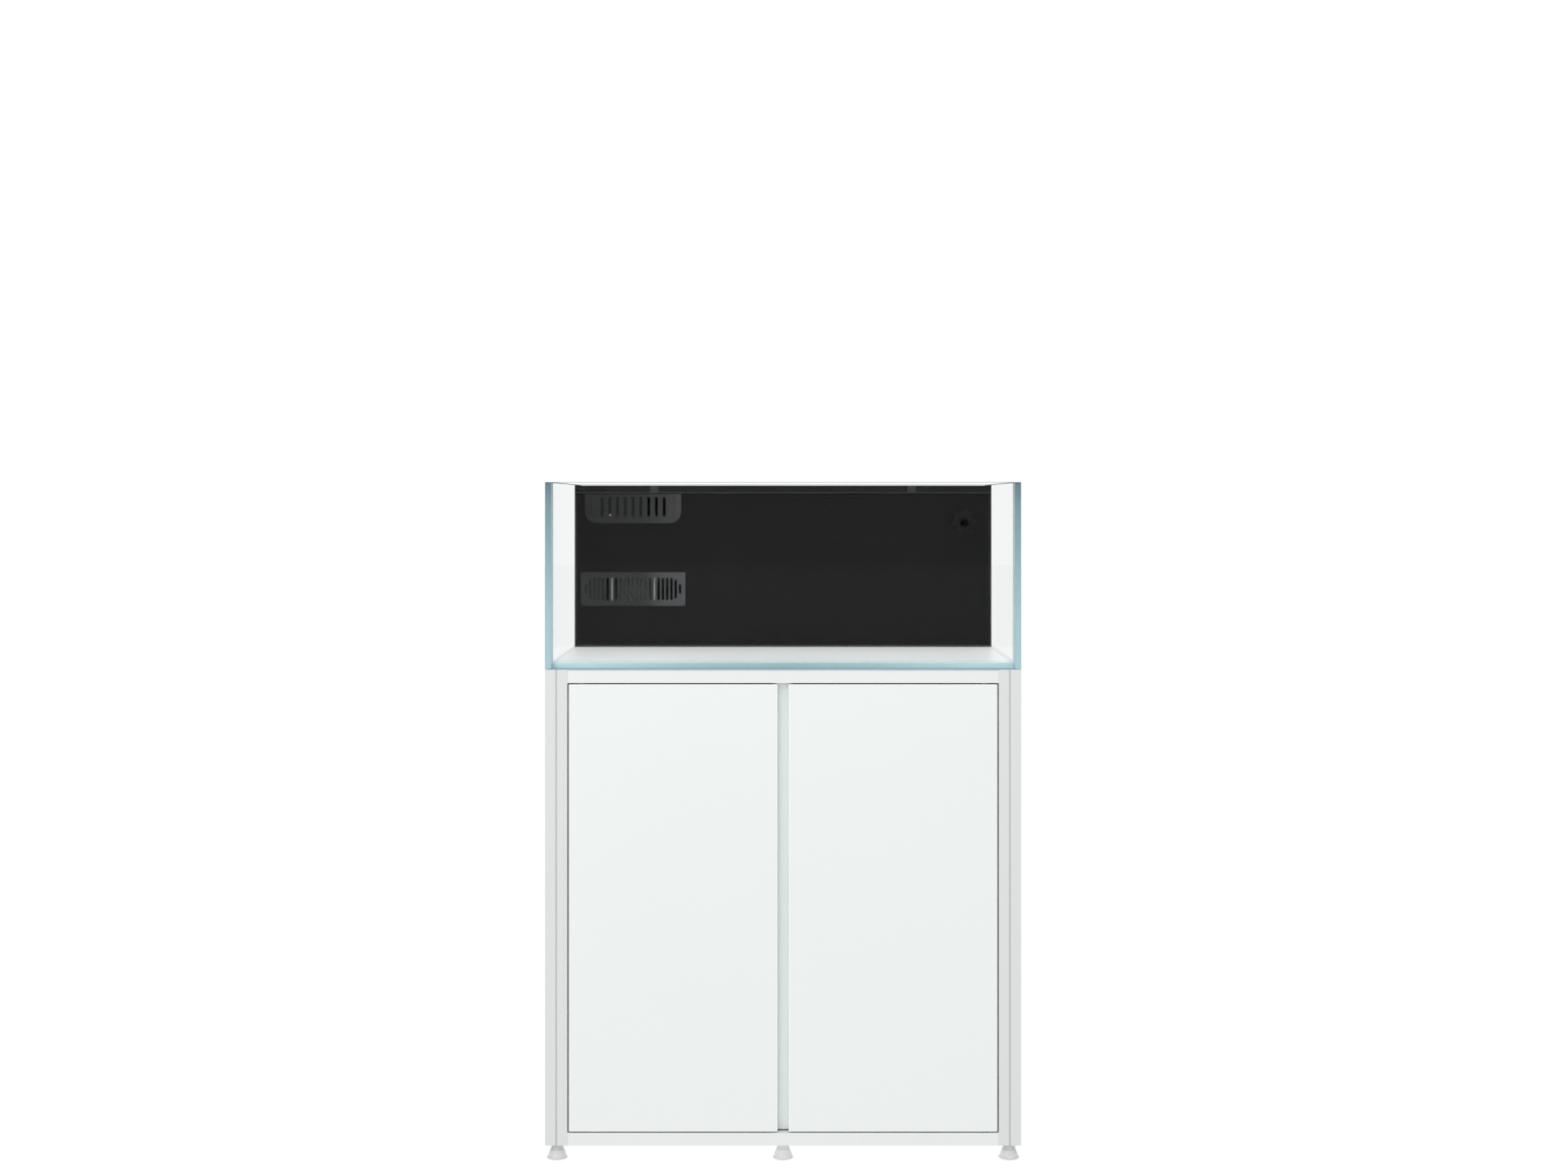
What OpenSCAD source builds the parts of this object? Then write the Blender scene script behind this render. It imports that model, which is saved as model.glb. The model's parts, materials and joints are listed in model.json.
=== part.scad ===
// Rimless all-in-one aquarium on a framed, two-door cabinet stand. Millimetres, +Z up.
// The origin is the centre of the footprint on the floor. The front faces -Y, and +X is
// to the right as seen from the front. Six levelling feet carry the stand.

/* [Stand] */
// Width of the stand and of the tank
stand_w = 900; // [880:10:960]
// Depth of the stand and of the tank
stand_d = 600; // [590:10:640]
// Height of the frame from the feet to the top rails
frame_h = 898; // [860:2:940]
// Side of each square corner post, and depth of the rails
post_side = 42.5; // [40:0.5:45]
// Height of the horizontal rails
rail_h = 24; // [22:1:28]
// Wall thickness of the posts and rails
wall = 2.5; // [2.5:0.5:3]
// Width of the V groove down the outer faces of a corner post
groove_w = 3; // [2:0.5:4]
// Width of the upright behind the doors' meeting edges
centre_post_w = 40; // [38:1:44]
// Thickness of the fixed side panels
side_panel_t = 6; // [4:1:8]
// Thickness of the back panel
back_panel_t = 3; // [2:1:4]
// Thickness of the cabinet floor
base_panel_t = 12; // [10:1:14]
// Diameter of each cable port in the back panel
port_d = 60; // [50:2:70]

/* [Doors] */
// Thickness of a door leaf
door_t = 16; // [15:1:18]
// Gap between a leaf and the frame round it
door_gap = 2.5; // [2.5:0.5:4]
// Gap between the two leaves, which the fingers use as a pull
finger_gap = 21; // [18:1:22]
// Distance from a leaf's outer edge to its pivot
pivot_inset = 24; // [24:1:30]
// Diameter of the pivot pins
pin_d = 6; // [5:1:8]

/* [Levelling feet] */
// Height of a foot under the frame
foot_h = 28; // [26:1:32]
// Diameter of a foot's base rim
foot_d = 39.4; // [38:0.2:42]
// Diameter of a foot's threaded stud
stud_d = 10; // [8:2:12]

/* [Tank] */
// Thickness of the levelling mat under the tank
mat_t = 2; // [2:1:4]
// Thickness of the glass
glass_t = 12; // [10:1:12]
// Height of the tank
tank_h = 354; // [350:2:380]
// Leg of the silicone bead in each inner corner
bead = 4; // [3:1:5]

/* [Filter chamber] */
// Clear depth of the chamber behind the partition
chamber_d = 110; // [106:1:120]
// Thickness of the partition and the baffles
partition_t = 6; // [5:1:6]
// Height of the cover's front skirt
skirt_h = 16; // [14:1:17]
// Width of the grip tabs on the cover
tab_w = 16.7; // [12:0.1:20]
// Distance from the tank's middle to each grip tab
tab_x = 270; // [250:5:300]

/* [Overflow weir] */
// Width of the weir's bezel
weir_w = 202.4; // [200:0.4:206]
// Height of the weir's bezel
weir_h = 61.6; // [60:0.4:62]
// Number of slots in the weir
weir_slots = 9; // [7:1:9]
// Distance from one weir slot to the next
weir_pitch = 16.3; // [14:0.1:16.3]
// Width of a weir slot
weir_slot_w = 6; // [4:0.5:7]

/* [Intake grille] */
// Width of the grille
grille_w = 219.3; // [215:0.1:222]
// Height of the grille
grille_h = 70.6; // [66:0.2:74]
// Number of slots in the grille
grille_slots = 23; // [19:2:23]
// Distance from one grille slot to the next
grille_pitch = 8.95; // [8:0.05:8.95]
// Width of a grille slot
grille_slot_w = 5; // [4:0.5:5]

/* [Return nozzle] */
// Distance of the nozzle to the right of the tank's middle
nozzle_x = 380; // [340:5:390]
// Bore of the nozzle's ball
nozzle_bore_d = 17; // [14:1:18]
// Number of lobes on the locking nut
nut_lobes = 6; // [5:1:8]

/* [Hidden] */

$fn = 64;
FREE = 0.3;      // gap between pieces that move past each other
RUNNING = 0.05;  // radial clearance of a pin in its bush and a stud in its insert
CUT = 1;         // how far a cutter runs past a face

// Colours
FRAME = "#e4e6e5";
LEAF = "#ecf3f2";
STEEL = "#b9bdc0";
DARK = "#3a3c3e";
BLACK = "#232425";
GLASS = [0.72, 0.88, 0.90, 0.35];
MAT = "#b9c2c6";
WHITE = "#f4f5f4";
NYLON = "#e9eae6";

// Heights
rail_z = foot_h;                           // underside of the bottom rails
frame_top = foot_h + frame_h;              // top of the top rails
mat_z = frame_top;
glass_z = frame_top + mat_t;               // underside of the tank
floor_z = glass_z + glass_t;               // inner floor of the tank
rim_z = glass_z + tank_h;                  // top of the tank
post_top = glass_z - FREE;
bay_bottom = rail_z + rail_h;              // clear opening between the rails
bay_top = frame_top - rail_h;

// Plan
front_y = -stand_d / 2;
half_w = stand_w / 2;
half_d = stand_d / 2;
in_x = half_w - post_side;                 // inner faces of the posts, along X
in_y = half_d - post_side;                 // inner faces of the rails, along Y
rail_mid_y = half_d - post_side / 2;
groove_depth = groove_w / 2;
edge_r = 1;                                // rounding of the frame's long edges

// Doors and their pivots
leaf_w = in_x - door_gap - finger_gap / 2;
leaf_x = in_x - door_gap;                  // outer edge of a leaf
leaf_bottom = bay_bottom + door_gap;
leaf_top = bay_top - door_gap;
leaf_back_y = front_y + door_t;
pivot_x = leaf_x - pivot_inset;
pivot_y = front_y + door_t / 2;
pin_in_leaf = 20;
pin_in_rail = 8;
pin_l = pin_in_leaf + door_gap + pin_in_rail;
bush_r = pin_d / 2 + 2;
bush_l = 10;
flange_t = 2;
stile_y = leaf_back_y + 2;                 // front face of the centre post
stile_d = -in_y - stile_y;                 // its depth
shadow_gap = 2.5;                          // slot under the centre post's front edge
catch_w = 5.5;
catch_h = 50;
catch_x = 14.3;
catch_d = 9;
strike_t = 1.2;
CATCH_ZS = [bay_bottom + 100, bay_top - 150];

// Frame corners: side of X, side of Y, and the turn that brings +X and +Y inwards
FRONT_LEFT = [-1, -1, 0];
FRONT_RIGHT = [1, -1, 90];
REAR_RIGHT = [1, 1, 180];
REAR_LEFT = [-1, 1, 270];
CORNERS = [FRONT_LEFT, FRONT_RIGHT, REAR_RIGHT, REAR_LEFT];

// Brackets and screws
bracket_leg = 60;
bracket_lap = 16;
bracket_t = 2;
screw_r = 2;
screw_head_r = 4;
screw_head_h = 1.8;
BRACKET_SCREWS = [[10, -8], [50, -8], [-8, 10], [-8, 50]];
back_y = half_d - 18;                      // inner face of the back panel
port_x = 300;
port_z = bay_top - 100;
grommet_t = 2;

// Tank and chamber
inner_x = half_w - glass_t;
inner_y = half_d - glass_t;
chamber_y = inner_y - chamber_d;           // rear face of the partition
wall_y = chamber_y - partition_t;          // front face of the partition
film_t = 0.5;
cover_t = 2.7;
cover_top = rim_z - 3;
cover_z = cover_top - cover_t;
partition_top = cover_z - FREE;
skirt_t = 3;
skirt_y = wall_y - 1 - skirt_t;            // front face of the cover's skirt
intake_baffle_x = -170;
pump_baffle_x = 200;

// Weir and grille, both snapped into the partition
insert_x = -315;
bezel_t = 4;
bezel_y = wall_y - FREE - bezel_t;         // front face of both bezels
weir_top = rim_z - 20.7;
weir_mid_z = weir_top - weir_h / 2;
weir_rim = 13;
weir_rim_top = 5.5;
weir_corner_r = 25;
weir_slot_h = 40;
weir_slot_z = weir_top - 26.8;             // middle of the slots
weir_cut = [152, 44];
grille_mid_z = floor_z + 121.5;
grille_corner_r = 5.5;
grille_top_r = 1.5;
grille_end_r = 23.35;                      // the slots fill a shape with round ends
grille_straight = 77.2;                    // half of its straight length
grille_cut = [206, 52];
clip_w = 12;
clip_t = 2;
clip_l = partition_t + 4;

// Return fitting
nozzle_z = rim_z - 81;
thread_r = 18;
seat_r = 15.5;
ball_r = 13.2;
socket_r = ball_r + FREE;
ball_y = wall_y - 9;                       // centre of the ball
nut_t = 12;
nut_hub_r = 22.5;
lobe_r = 5.5;
lobe_ring_r = 23;
lobe_turn = 9;
pipe_r = 10;
hose_r = 13;
bend_r = 22;
bulkhead_back = chamber_y + 14;
hose_y = bulkhead_back + bend_r;
hose_bottom = floor_z + 112;
hose_top = nozzle_z - bend_r - 9;
pump_top = floor_z + 96;
clamp_h = 9;
clamp_t = 1.4;

// Media basket behind the weir
basket_w = 82;
basket_d = 80;
basket_h = 250;
basket_r = 22;
basket_t = 3;
basket_z = floor_z + 20;
basket_y = chamber_y + 18;
guide_x = 44.7;
guide_t = 2;
guide_d = 14;
guide_top = nozzle_z + 21;
sponge_h = 48;

// ---- Shared shapes ----

// Rectangle with rounded corners, centred
module round_rect(w, h, r) {
    square([w - 2 * r, h], center = true);
    square([w, h - 2 * r], center = true);
    for (x = [-1, 1], y = [-1, 1]) translate([x * (w / 2 - r), y * (h / 2 - r)]) circle(r);
}

// Rectangle, centred, with its own rounding at the bottom and at the top
module bezel_outline(w, h, r_bottom, r_top) {
    difference() {
        square([w, h], center = true);
        for (x = [-1, 1], y = [-1, 1]) {
            r = y < 0 ? r_bottom : r_top;
            translate([x * (w / 2 - r), y * (h / 2 - r)]) difference() {
                translate([x > 0 ? 0 : -r - CUT, y > 0 ? 0 : -r - CUT]) square(r + CUT);
                circle(r);
            }
        }
    }
}

// Hollow rectangular tube along Z, centred on X and Y
module tube(w, d, l) {
    linear_extrude(l) difference() {
        round_rect(w, d, edge_r);
        square([w - 2 * wall, d - 2 * wall], center = true);
    }
}

// Draws its children with X and Z as the sheet's own axes, extruded towards +Y from y
module upright(y, t) {
    translate([0, y + t, 0]) rotate([90, 0, 0]) linear_extrude(t) children();
}

// Turns a shape built along +Z so that it runs along +Y from y
module along_y(x, y, z) {
    translate([x, y, z]) rotate([-90, 0, 0]) children();
}

// Places a shape drawn for a corner with its outer edges on +X and +Y
module at_corner(c) {
    translate([c[0] * half_w, c[1] * half_d, 0]) rotate(c[2]) children();
}

// Draws a left-hand shape, or its mirror image on the right
module on_side(s) {
    if (s < 0) children();
    else mirror([1, 0, 0]) children();
}

module ring(r_out, r_in, h) {
    difference() {
        cylinder(r = r_out, h = h);
        translate([0, 0, -CUT]) cylinder(r = r_in, h = h + 2 * CUT);
    }
}

// ---- Frame ----

module groove() {
    polygon([[-groove_w / 2, 0], [groove_w / 2, 0], [0, groove_depth]]);
}

module post_section(hollow) {
    difference() {
        translate([post_side / 2, post_side / 2]) round_rect(post_side, post_side, edge_r);
        if (hollow) translate([wall, wall]) square(post_side - 2 * wall);
        translate([post_side / 2, 0]) groove();
        translate([0, post_side / 2]) rotate(-90) groove();
    }
}

// Corner post: a tube closed at its top
module corner_post(c) {
    cap_t = 3;
    color(FRAME) at_corner(c) {
        translate([0, 0, rail_z]) linear_extrude(post_top - rail_z - cap_t) post_section(true);
        translate([0, 0, post_top - cap_t]) linear_extrude(cap_t) post_section(false);
    }
}

module front_left_post() { corner_post(FRONT_LEFT); }
module front_right_post() { corner_post(FRONT_RIGHT); }
module rear_left_post() { corner_post(REAR_LEFT); }
module rear_right_post() { corner_post(REAR_RIGHT); }

module cross_rail(side, z) {
    translate([-in_x, side * rail_mid_y, z + rail_h / 2]) rotate([90, 0, 90])
        tube(post_side, rail_h, 2 * in_x);
}

module side_rail(side, z) {
    translate([side * (half_w - post_side / 2), in_y, z + rail_h / 2]) rotate([90, 0, 0])
        tube(post_side, rail_h, 2 * in_y);
}

// Clears a round hole through the wall that starts at height z
module wall_hole(x, y, z, r) {
    translate([x, y, z - CUT]) cylinder(r = r, h = wall + 2 * CUT);
}

module top_front_rail() {
    color(FRAME) difference() {
        cross_rail(-1, bay_top);
        for (s = [-1, 1]) wall_hole(s * pivot_x, pivot_y, bay_top, bush_r);
    }
}

module top_rear_rail() { color(FRAME) cross_rail(1, bay_top); }
module top_left_rail() { color(FRAME) side_rail(-1, bay_top); }
module top_right_rail() { color(FRAME) side_rail(1, bay_top); }

module bottom_front_rail() {
    color(FRAME) difference() {
        cross_rail(-1, rail_z);
        for (s = [-1, 1]) wall_hole(s * pivot_x, pivot_y, bay_bottom - wall, bush_r);
        wall_hole(0, -rail_mid_y, rail_z, stud_d / 2 + FREE);
    }
}

module bottom_rear_rail() {
    color(FRAME) difference() {
        cross_rail(1, rail_z);
        wall_hole(0, rail_mid_y, rail_z, stud_d / 2 + FREE);
    }
}

module bottom_left_rail() { color(FRAME) side_rail(-1, rail_z); }
module bottom_right_rail() { color(FRAME) side_rail(1, rail_z); }

// Upright that the doors close against. Its front edge stops short of the bottom rail.
module front_centre_post() {
    color(FRAME) difference() {
        translate([0, stile_y + stile_d / 2, bay_bottom])
            tube(centre_post_w, stile_d, bay_top - bay_bottom);
        translate([-half_w, stile_y - CUT, bay_bottom - CUT])
            cube([stand_w, wall + CUT, shadow_gap + CUT]);
        catch_pockets();
    }
}

module rear_centre_post() {
    color(FRAME) translate([0, in_y + stile_d / 2, bay_bottom])
        tube(centre_post_w, stile_d, bay_top - bay_bottom);
}

// Beams between the centre posts, under the deck, and between the rails, under the floor
module centre_beams() {
    top_h = 30;
    low_h = rail_h - base_panel_t;
    color(FRAME) {
        translate([0, in_y, bay_top - top_h / 2]) rotate([90, 0, 0])
            tube(centre_post_w, top_h, 2 * in_y);
        translate([0, in_y, rail_z + low_h / 2]) rotate([90, 0, 0])
            tube(centre_post_w, low_h, 2 * in_y);
    }
}

module bracket_outline() {
    difference() {
        polygon([
            [0, -bracket_lap], [bracket_leg, -bracket_lap], [bracket_leg, 0],
            [0, bracket_leg], [-bracket_lap, bracket_leg], [-bracket_lap, 0], [0, 0]
        ]);
        for (p = BRACKET_SCREWS) translate(p) circle(screw_r + RUNNING);
    }
}

module at_brackets(z) {
    for (c = CORNERS) at_corner(c) translate([post_side, post_side, z]) children();
}

module corner_brackets() {
    color(FRAME) {
        at_brackets(bay_top - bracket_t) linear_extrude(bracket_t) bracket_outline();
        at_brackets(bay_bottom) linear_extrude(bracket_t) bracket_outline();
    }
}

// Button-head screw, head up from z = 0, shank down
module screw(shank) {
    cylinder(r = screw_head_r, h = screw_head_h);
    translate([0, 0, -shank]) cylinder(r = screw_r, h = shank);
}

BACK_SCREW_ZS = [bay_bottom + 60, (bay_bottom + bay_top) / 2, bay_top - 60];

module frame_screws() {
    color(STEEL) {
        at_brackets(bay_top - bracket_t)
            for (p = BRACKET_SCREWS) translate(p) mirror([0, 0, 1]) screw(bracket_t);
        at_brackets(bay_bottom + bracket_t)
            for (p = BRACKET_SCREWS) translate(p) screw(bracket_t);
        for (z = BACK_SCREW_ZS) along_y(0, back_y + back_panel_t, z) screw(back_panel_t);
    }
}

// ---- Panels ----

module deck_panel() {
    color(WHITE) translate([-in_x, -in_y, bay_top]) cube([2 * in_x, 2 * in_y, rail_h]);
}

module base_panel() {
    color(WHITE) translate([-in_x, -in_y, bay_bottom - base_panel_t])
        cube([2 * in_x, 2 * in_y, base_panel_t]);
}

module side_panel(s) {
    inset = 2;
    color(LEAF) on_side(s) translate([-half_w + inset, -in_y, bay_bottom])
        cube([side_panel_t, 2 * in_y, bay_top - bay_bottom]);
}

module left_side_panel() { side_panel(-1); }
module right_side_panel() { side_panel(1); }

module back_panel() {
    color(WHITE) difference() {
        translate([-in_x, back_y, bay_bottom])
            cube([2 * in_x, back_panel_t, bay_top - bay_bottom]);
        for (s = [-1, 1]) along_y(s * port_x, back_y - CUT, port_z)
            cylinder(d = port_d, h = back_panel_t + 2 * CUT);
        for (z = BACK_SCREW_ZS) along_y(0, back_y - CUT, z)
            cylinder(r = screw_r + RUNNING, h = back_panel_t + 2 * CUT);
    }
}

// Rubber ring with a lip on each side of the back panel
module cable_grommets() {
    lip = 4;
    bore_r = port_d / 2 - 5;
    color(DARK) for (s = [-1, 1]) along_y(s * port_x, back_y - grommet_t, port_z)
        difference() {
            union() {
                cylinder(d = port_d, h = back_panel_t + 2 * grommet_t);
                cylinder(d = port_d + 2 * lip, h = grommet_t);
                translate([0, 0, grommet_t + back_panel_t])
                    cylinder(d = port_d + 2 * lip, h = grommet_t);
            }
            translate([0, 0, -CUT])
                cylinder(r = bore_r, h = back_panel_t + 2 * grommet_t + 2 * CUT);
        }
}

// ---- Doors ----

// Flanged bush, its flange down from z = 0 and its sleeve up
module pivot_bush() {
    difference() {
        union() {
            cylinder(r = bush_r, h = bush_l);
            translate([0, 0, -flange_t]) cylinder(r = bush_r + 2, h = flange_t);
        }
        translate([0, 0, -flange_t - CUT])
            cylinder(r = pin_d / 2 + RUNNING, h = bush_l + flange_t + 2 * CUT);
    }
}

module pivot_bushes() {
    color(NYLON) for (s = [-1, 1]) {
        translate([s * pivot_x, pivot_y, bay_top]) pivot_bush();
        translate([s * pivot_x, pivot_y, bay_bottom]) mirror([0, 0, 1]) pivot_bush();
    }
}

module catch_pockets() {
    for (s = [-1, 1], z = CATCH_ZS)
        translate([s * catch_x - catch_w / 2, stile_y - CUT, z]) cube([catch_w, wall + 2 * CUT, catch_h]);
}

module magnet_catches() {
    proud = 1.2;
    color(DARK) for (s = [-1, 1], z = CATCH_ZS)
        translate([s * catch_x - catch_w / 2, stile_y - proud, z]) cube([catch_w, catch_d, catch_h]);
}

module strikes() {
    for (z = CATCH_ZS)
        translate([-catch_x - catch_w / 2, leaf_back_y - strike_t, z])
            cube([catch_w, strike_t, catch_h]);
}

module pivot_pins(r) {
    translate([-pivot_x, pivot_y, leaf_top - pin_in_leaf]) cylinder(r = r, h = pin_l);
    translate([-pivot_x, pivot_y, bay_bottom - pin_in_rail]) cylinder(r = r, h = pin_l);
}

module door(s) {
    color(LEAF) on_side(s) difference() {
        translate([-leaf_x + leaf_w / 2, front_y + door_t / 2, leaf_bottom])
            linear_extrude(leaf_top - leaf_bottom) round_rect(leaf_w, door_t, edge_r);
        pivot_pins(pin_d / 2);
        strikes();
    }
}

module door_hardware(s) {
    color(STEEL) on_side(s) {
        pivot_pins(pin_d / 2);
        strikes();
    }
}

module left_door() { door(-1); }
module right_door() { door(1); }
module left_door_hardware() { door_hardware(-1); }
module right_door_hardware() { door_hardware(1); }

// ---- Levelling feet ----

insert_h = 20;

// Threaded plugs that close the posts' lower ends, and two inside the bottom rails
module foot_inserts() {
    side = post_side - 2 * wall - 0.2;
    bore_r = stud_d / 2 + RUNNING;
    color(DARK) {
        for (c = CORNERS) at_corner(c) translate([post_side / 2, post_side / 2, rail_z])
            difference() {
                linear_extrude(insert_h) square(side, center = true);
                translate([0, 0, -CUT]) cylinder(r = bore_r, h = insert_h + 2 * CUT);
            }
        for (s = [-1, 1]) translate([0, s * rail_mid_y, rail_z + wall])
            ring(stud_d / 2 + 4, bore_r, rail_h - 2 * wall);
    }
}

// Bell-shaped foot on a stud: a cone under the frame, a groove, a bell and a flared rim
module levelling_foot(x, y) {
    rim_r = foot_d / 2;
    neck = foot_h - FREE;
    color(FRAME) translate([x, y, 0]) {
        rotate_extrude() polygon(concat(
            [[0, 0], [rim_r - 0.9, 0], [rim_r, 0.9], [rim_r, 1.6], [rim_r - 0.9, 2.6], [rim_r - 2.4, 3.4]],
            [for (t = [0:0.2:1]) [rim_r - 2.6 - 4.2 * pow(t, 1.2), 5 + 11.6 * t]],
            [
                [12.2, 17.2], [10.8, 17.5], [10.8, 18.6], [12, 18.9], [12, 19.6],
                [10.6, neck - 0.6], [10, neck], [0, neck]
            ]
        ));
        cylinder(d = stud_d, h = rail_z + insert_h - 1);
    }
}

module front_left_foot() { levelling_foot(-half_w + post_side / 2, -rail_mid_y); }
module front_centre_foot() { levelling_foot(0, -rail_mid_y); }
module front_right_foot() { levelling_foot(half_w - post_side / 2, -rail_mid_y); }
module rear_left_foot() { levelling_foot(-half_w + post_side / 2, rail_mid_y); }
module rear_centre_foot() { levelling_foot(0, rail_mid_y); }
module rear_right_foot() { levelling_foot(half_w - post_side / 2, rail_mid_y); }

// ---- Tank ----

// Foam mat, notched round the corner posts
module levelling_mat() {
    notch = post_side + FREE;
    color(MAT) translate([0, 0, mat_z]) linear_extrude(mat_t) difference() {
        square([stand_w, stand_d], center = true);
        for (x = [-1, 1], y = [-1, 1])
            translate([x * (half_w - notch / 2 + CUT / 2), y * (half_d - notch / 2 + CUT / 2)])
                square(notch + CUT, center = true);
    }
}

module bottom_glass() {
    color(GLASS) translate([-inner_x, -inner_y, glass_z]) cube([2 * inner_x, 2 * inner_y, glass_t]);
}

module cross_glass(y) {
    color(GLASS) translate([-inner_x, y, glass_z]) cube([2 * inner_x, glass_t, tank_h]);
}

module side_glass(s) {
    color(GLASS) on_side(s) translate([-half_w, -half_d, glass_z]) cube([glass_t, stand_d, tank_h]);
}

module front_glass() { cross_glass(-half_d); }
module back_glass() { cross_glass(inner_y); }
module left_glass() { side_glass(-1); }
module right_glass() { side_glass(1); }

// Right-angled bead section with its legs along +X and +Y
module bead_section() { polygon([[0, 0], [bead, 0], [0, bead]]); }

// Beads round the display's floor and up its four corners
module silicone_seams() {
    rise = weir_top - floor_z;
    run_x = 2 * inner_x;
    run_y = wall_y + inner_y;
    color(MAT) {
        translate([-inner_x, -inner_y, floor_z]) rotate([90, 0, 90]) linear_extrude(run_x) bead_section();
        translate([inner_x, wall_y, floor_z]) rotate([90, 0, -90]) linear_extrude(run_x) bead_section();
        for (s = [-1, 1]) on_side(s) {
            translate([-inner_x, wall_y, floor_z]) rotate([90, 0, 0]) linear_extrude(run_y) bead_section();
            translate([-inner_x, -inner_y, floor_z]) linear_extrude(rim_z - floor_z - 2) bead_section();
            translate([-inner_x, wall_y, floor_z]) rotate(-90) linear_extrude(rise) bead_section();
        }
    }
}

// ---- Filter chamber ----

module chamber_partition() {
    h = partition_top - floor_z;
    color(BLACK) difference() {
        translate([-inner_x, wall_y, floor_z]) cube([2 * inner_x, partition_t, h]);
        translate([insert_x, 0, weir_slot_z])
            upright(wall_y - CUT, partition_t + 2 * CUT) square(weir_cut, center = true);
        translate([insert_x, 0, grille_mid_z])
            upright(wall_y - CUT, partition_t + 2 * CUT) square(grille_cut, center = true);
        along_y(nozzle_x, wall_y - CUT, nozzle_z) cylinder(r = thread_r + RUNNING, h = partition_t + 2 * CUT);
    }
}

// The first baffle lets water pass under it, the second over it
module chamber_baffles() {
    under = 50;
    over = 70;
    depth = chamber_d - film_t;
    color(BLACK) {
        translate([intake_baffle_x, chamber_y, floor_z + under])
            cube([partition_t, depth, partition_top - floor_z - under]);
        translate([pump_baffle_x, chamber_y, floor_z])
            cube([partition_t, depth, partition_top - floor_z - over]);
    }
}

// Black lining on the back and side glass of the chamber
module chamber_film() {
    h = partition_top - floor_z;
    color(BLACK) {
        translate([-inner_x, inner_y - film_t, floor_z]) cube([2 * inner_x, film_t, h]);
        for (s = [-1, 1]) on_side(s) translate([-inner_x, chamber_y, floor_z])
            cube([film_t, chamber_d - film_t, h]);
    }
}

// Lift-off cover with a front skirt, two grip tabs and a notch for the pump's cable
module chamber_cover() {
    w = 2 * (inner_x - 0.6);
    back = inner_y - 0.8;
    lip = 1.5;
    lip_h = 2;
    grip_t = 1.2;
    notch_w = 26;
    notch_d = 16;
    color(BLACK) difference() {
        union() {
            translate([-w / 2, skirt_y, cover_z]) cube([w, back - skirt_y, cover_t]);
            translate([-w / 2, skirt_y, cover_top - skirt_h]) cube([w, skirt_t, skirt_h]);
            translate([-w / 2, skirt_y - lip, cover_top - skirt_h]) cube([w, lip, lip_h]);
            for (s = [-1, 1]) translate([s * tab_x - tab_w / 2, skirt_y - grip_t, cover_top - skirt_h])
                cube([tab_w, grip_t, skirt_h]);
        }
        translate([nozzle_x - notch_w / 2, back - notch_d, cover_z - CUT])
            cube([notch_w, notch_d + CUT, cover_t + 2 * CUT]);
    }
}

// Four clips that reach through a cut-out of the partition, just inside its upper and lower edges
module insert_clips(cut) {
    for (x = [-1, 1], z = [-1, 1])
        translate([x * (cut[0] / 2 - clip_w) - clip_w / 2,
                   bezel_y + bezel_t,
                   z * (cut[1] / 2 - FREE - clip_t / 2) - clip_t / 2])
            cube([clip_w, clip_l, clip_t]);
}

// Bezel with a row of slots; a plate on its back closes all but the last three
module overflow_weir() {
    recess = 1.5;
    field_w = weir_w - 2 * weir_rim;
    field_h = weir_h - weir_rim - weir_rim_top;
    closed = weir_slots - 3;
    color(BLACK) translate([insert_x - weir_slots * weir_pitch / 2, bezel_y + bezel_t, weir_slot_z - 18.5])
        cube([closed * weir_pitch, 1.2, 37]);
    color(BLACK) difference() {
        union() {
            translate([insert_x, 0, weir_mid_z]) upright(bezel_y, bezel_t)
                bezel_outline(weir_w, weir_h, weir_corner_r, 1);
            translate([insert_x, 0, weir_slot_z]) insert_clips(weir_cut);
        }
        translate([insert_x, 0, weir_mid_z + (weir_rim - weir_rim_top) / 2])
            upright(bezel_y - CUT, recess + CUT)
                bezel_outline(field_w, field_h, weir_corner_r - weir_rim, 1);
        for (k = [0:weir_slots - 1])
            translate([insert_x + (k - (weir_slots - 1) / 2) * weir_pitch, 0, weir_slot_z])
                upright(bezel_y - CUT, bezel_t + 2 * CUT) square([weir_slot_w, weir_slot_h], center = true);
    }
}

// Half height of the slotted area at a distance x from its middle
function slot_reach(x) = abs(x) <= grille_straight ? grille_end_r
    : sqrt(pow(grille_end_r, 2) - pow(abs(x) - grille_straight, 2));

// Bezel with a band of slots; a plate on its back closes the first five
module intake_grille() {
    closed = 5;
    color(BLACK) translate([insert_x - grille_slots * grille_pitch / 2 + 0.6, bezel_y + bezel_t, grille_mid_z - 22])
        cube([closed * grille_pitch - 0.6, 1.2, 44]);
    color(BLACK) translate([insert_x, 0, grille_mid_z]) difference() {
        union() {
            upright(bezel_y, bezel_t) bezel_outline(grille_w, grille_h, grille_corner_r, grille_top_r);
            insert_clips(grille_cut);
        }
        for (k = [0:grille_slots - 1]) {
            x = (k - (grille_slots - 1) / 2) * grille_pitch;
            translate([x, 0, 0]) upright(bezel_y - CUT, bezel_t + 2 * CUT)
                square([grille_slot_w, 2 * slot_reach(x)], center = true);
        }
    }
}

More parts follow.
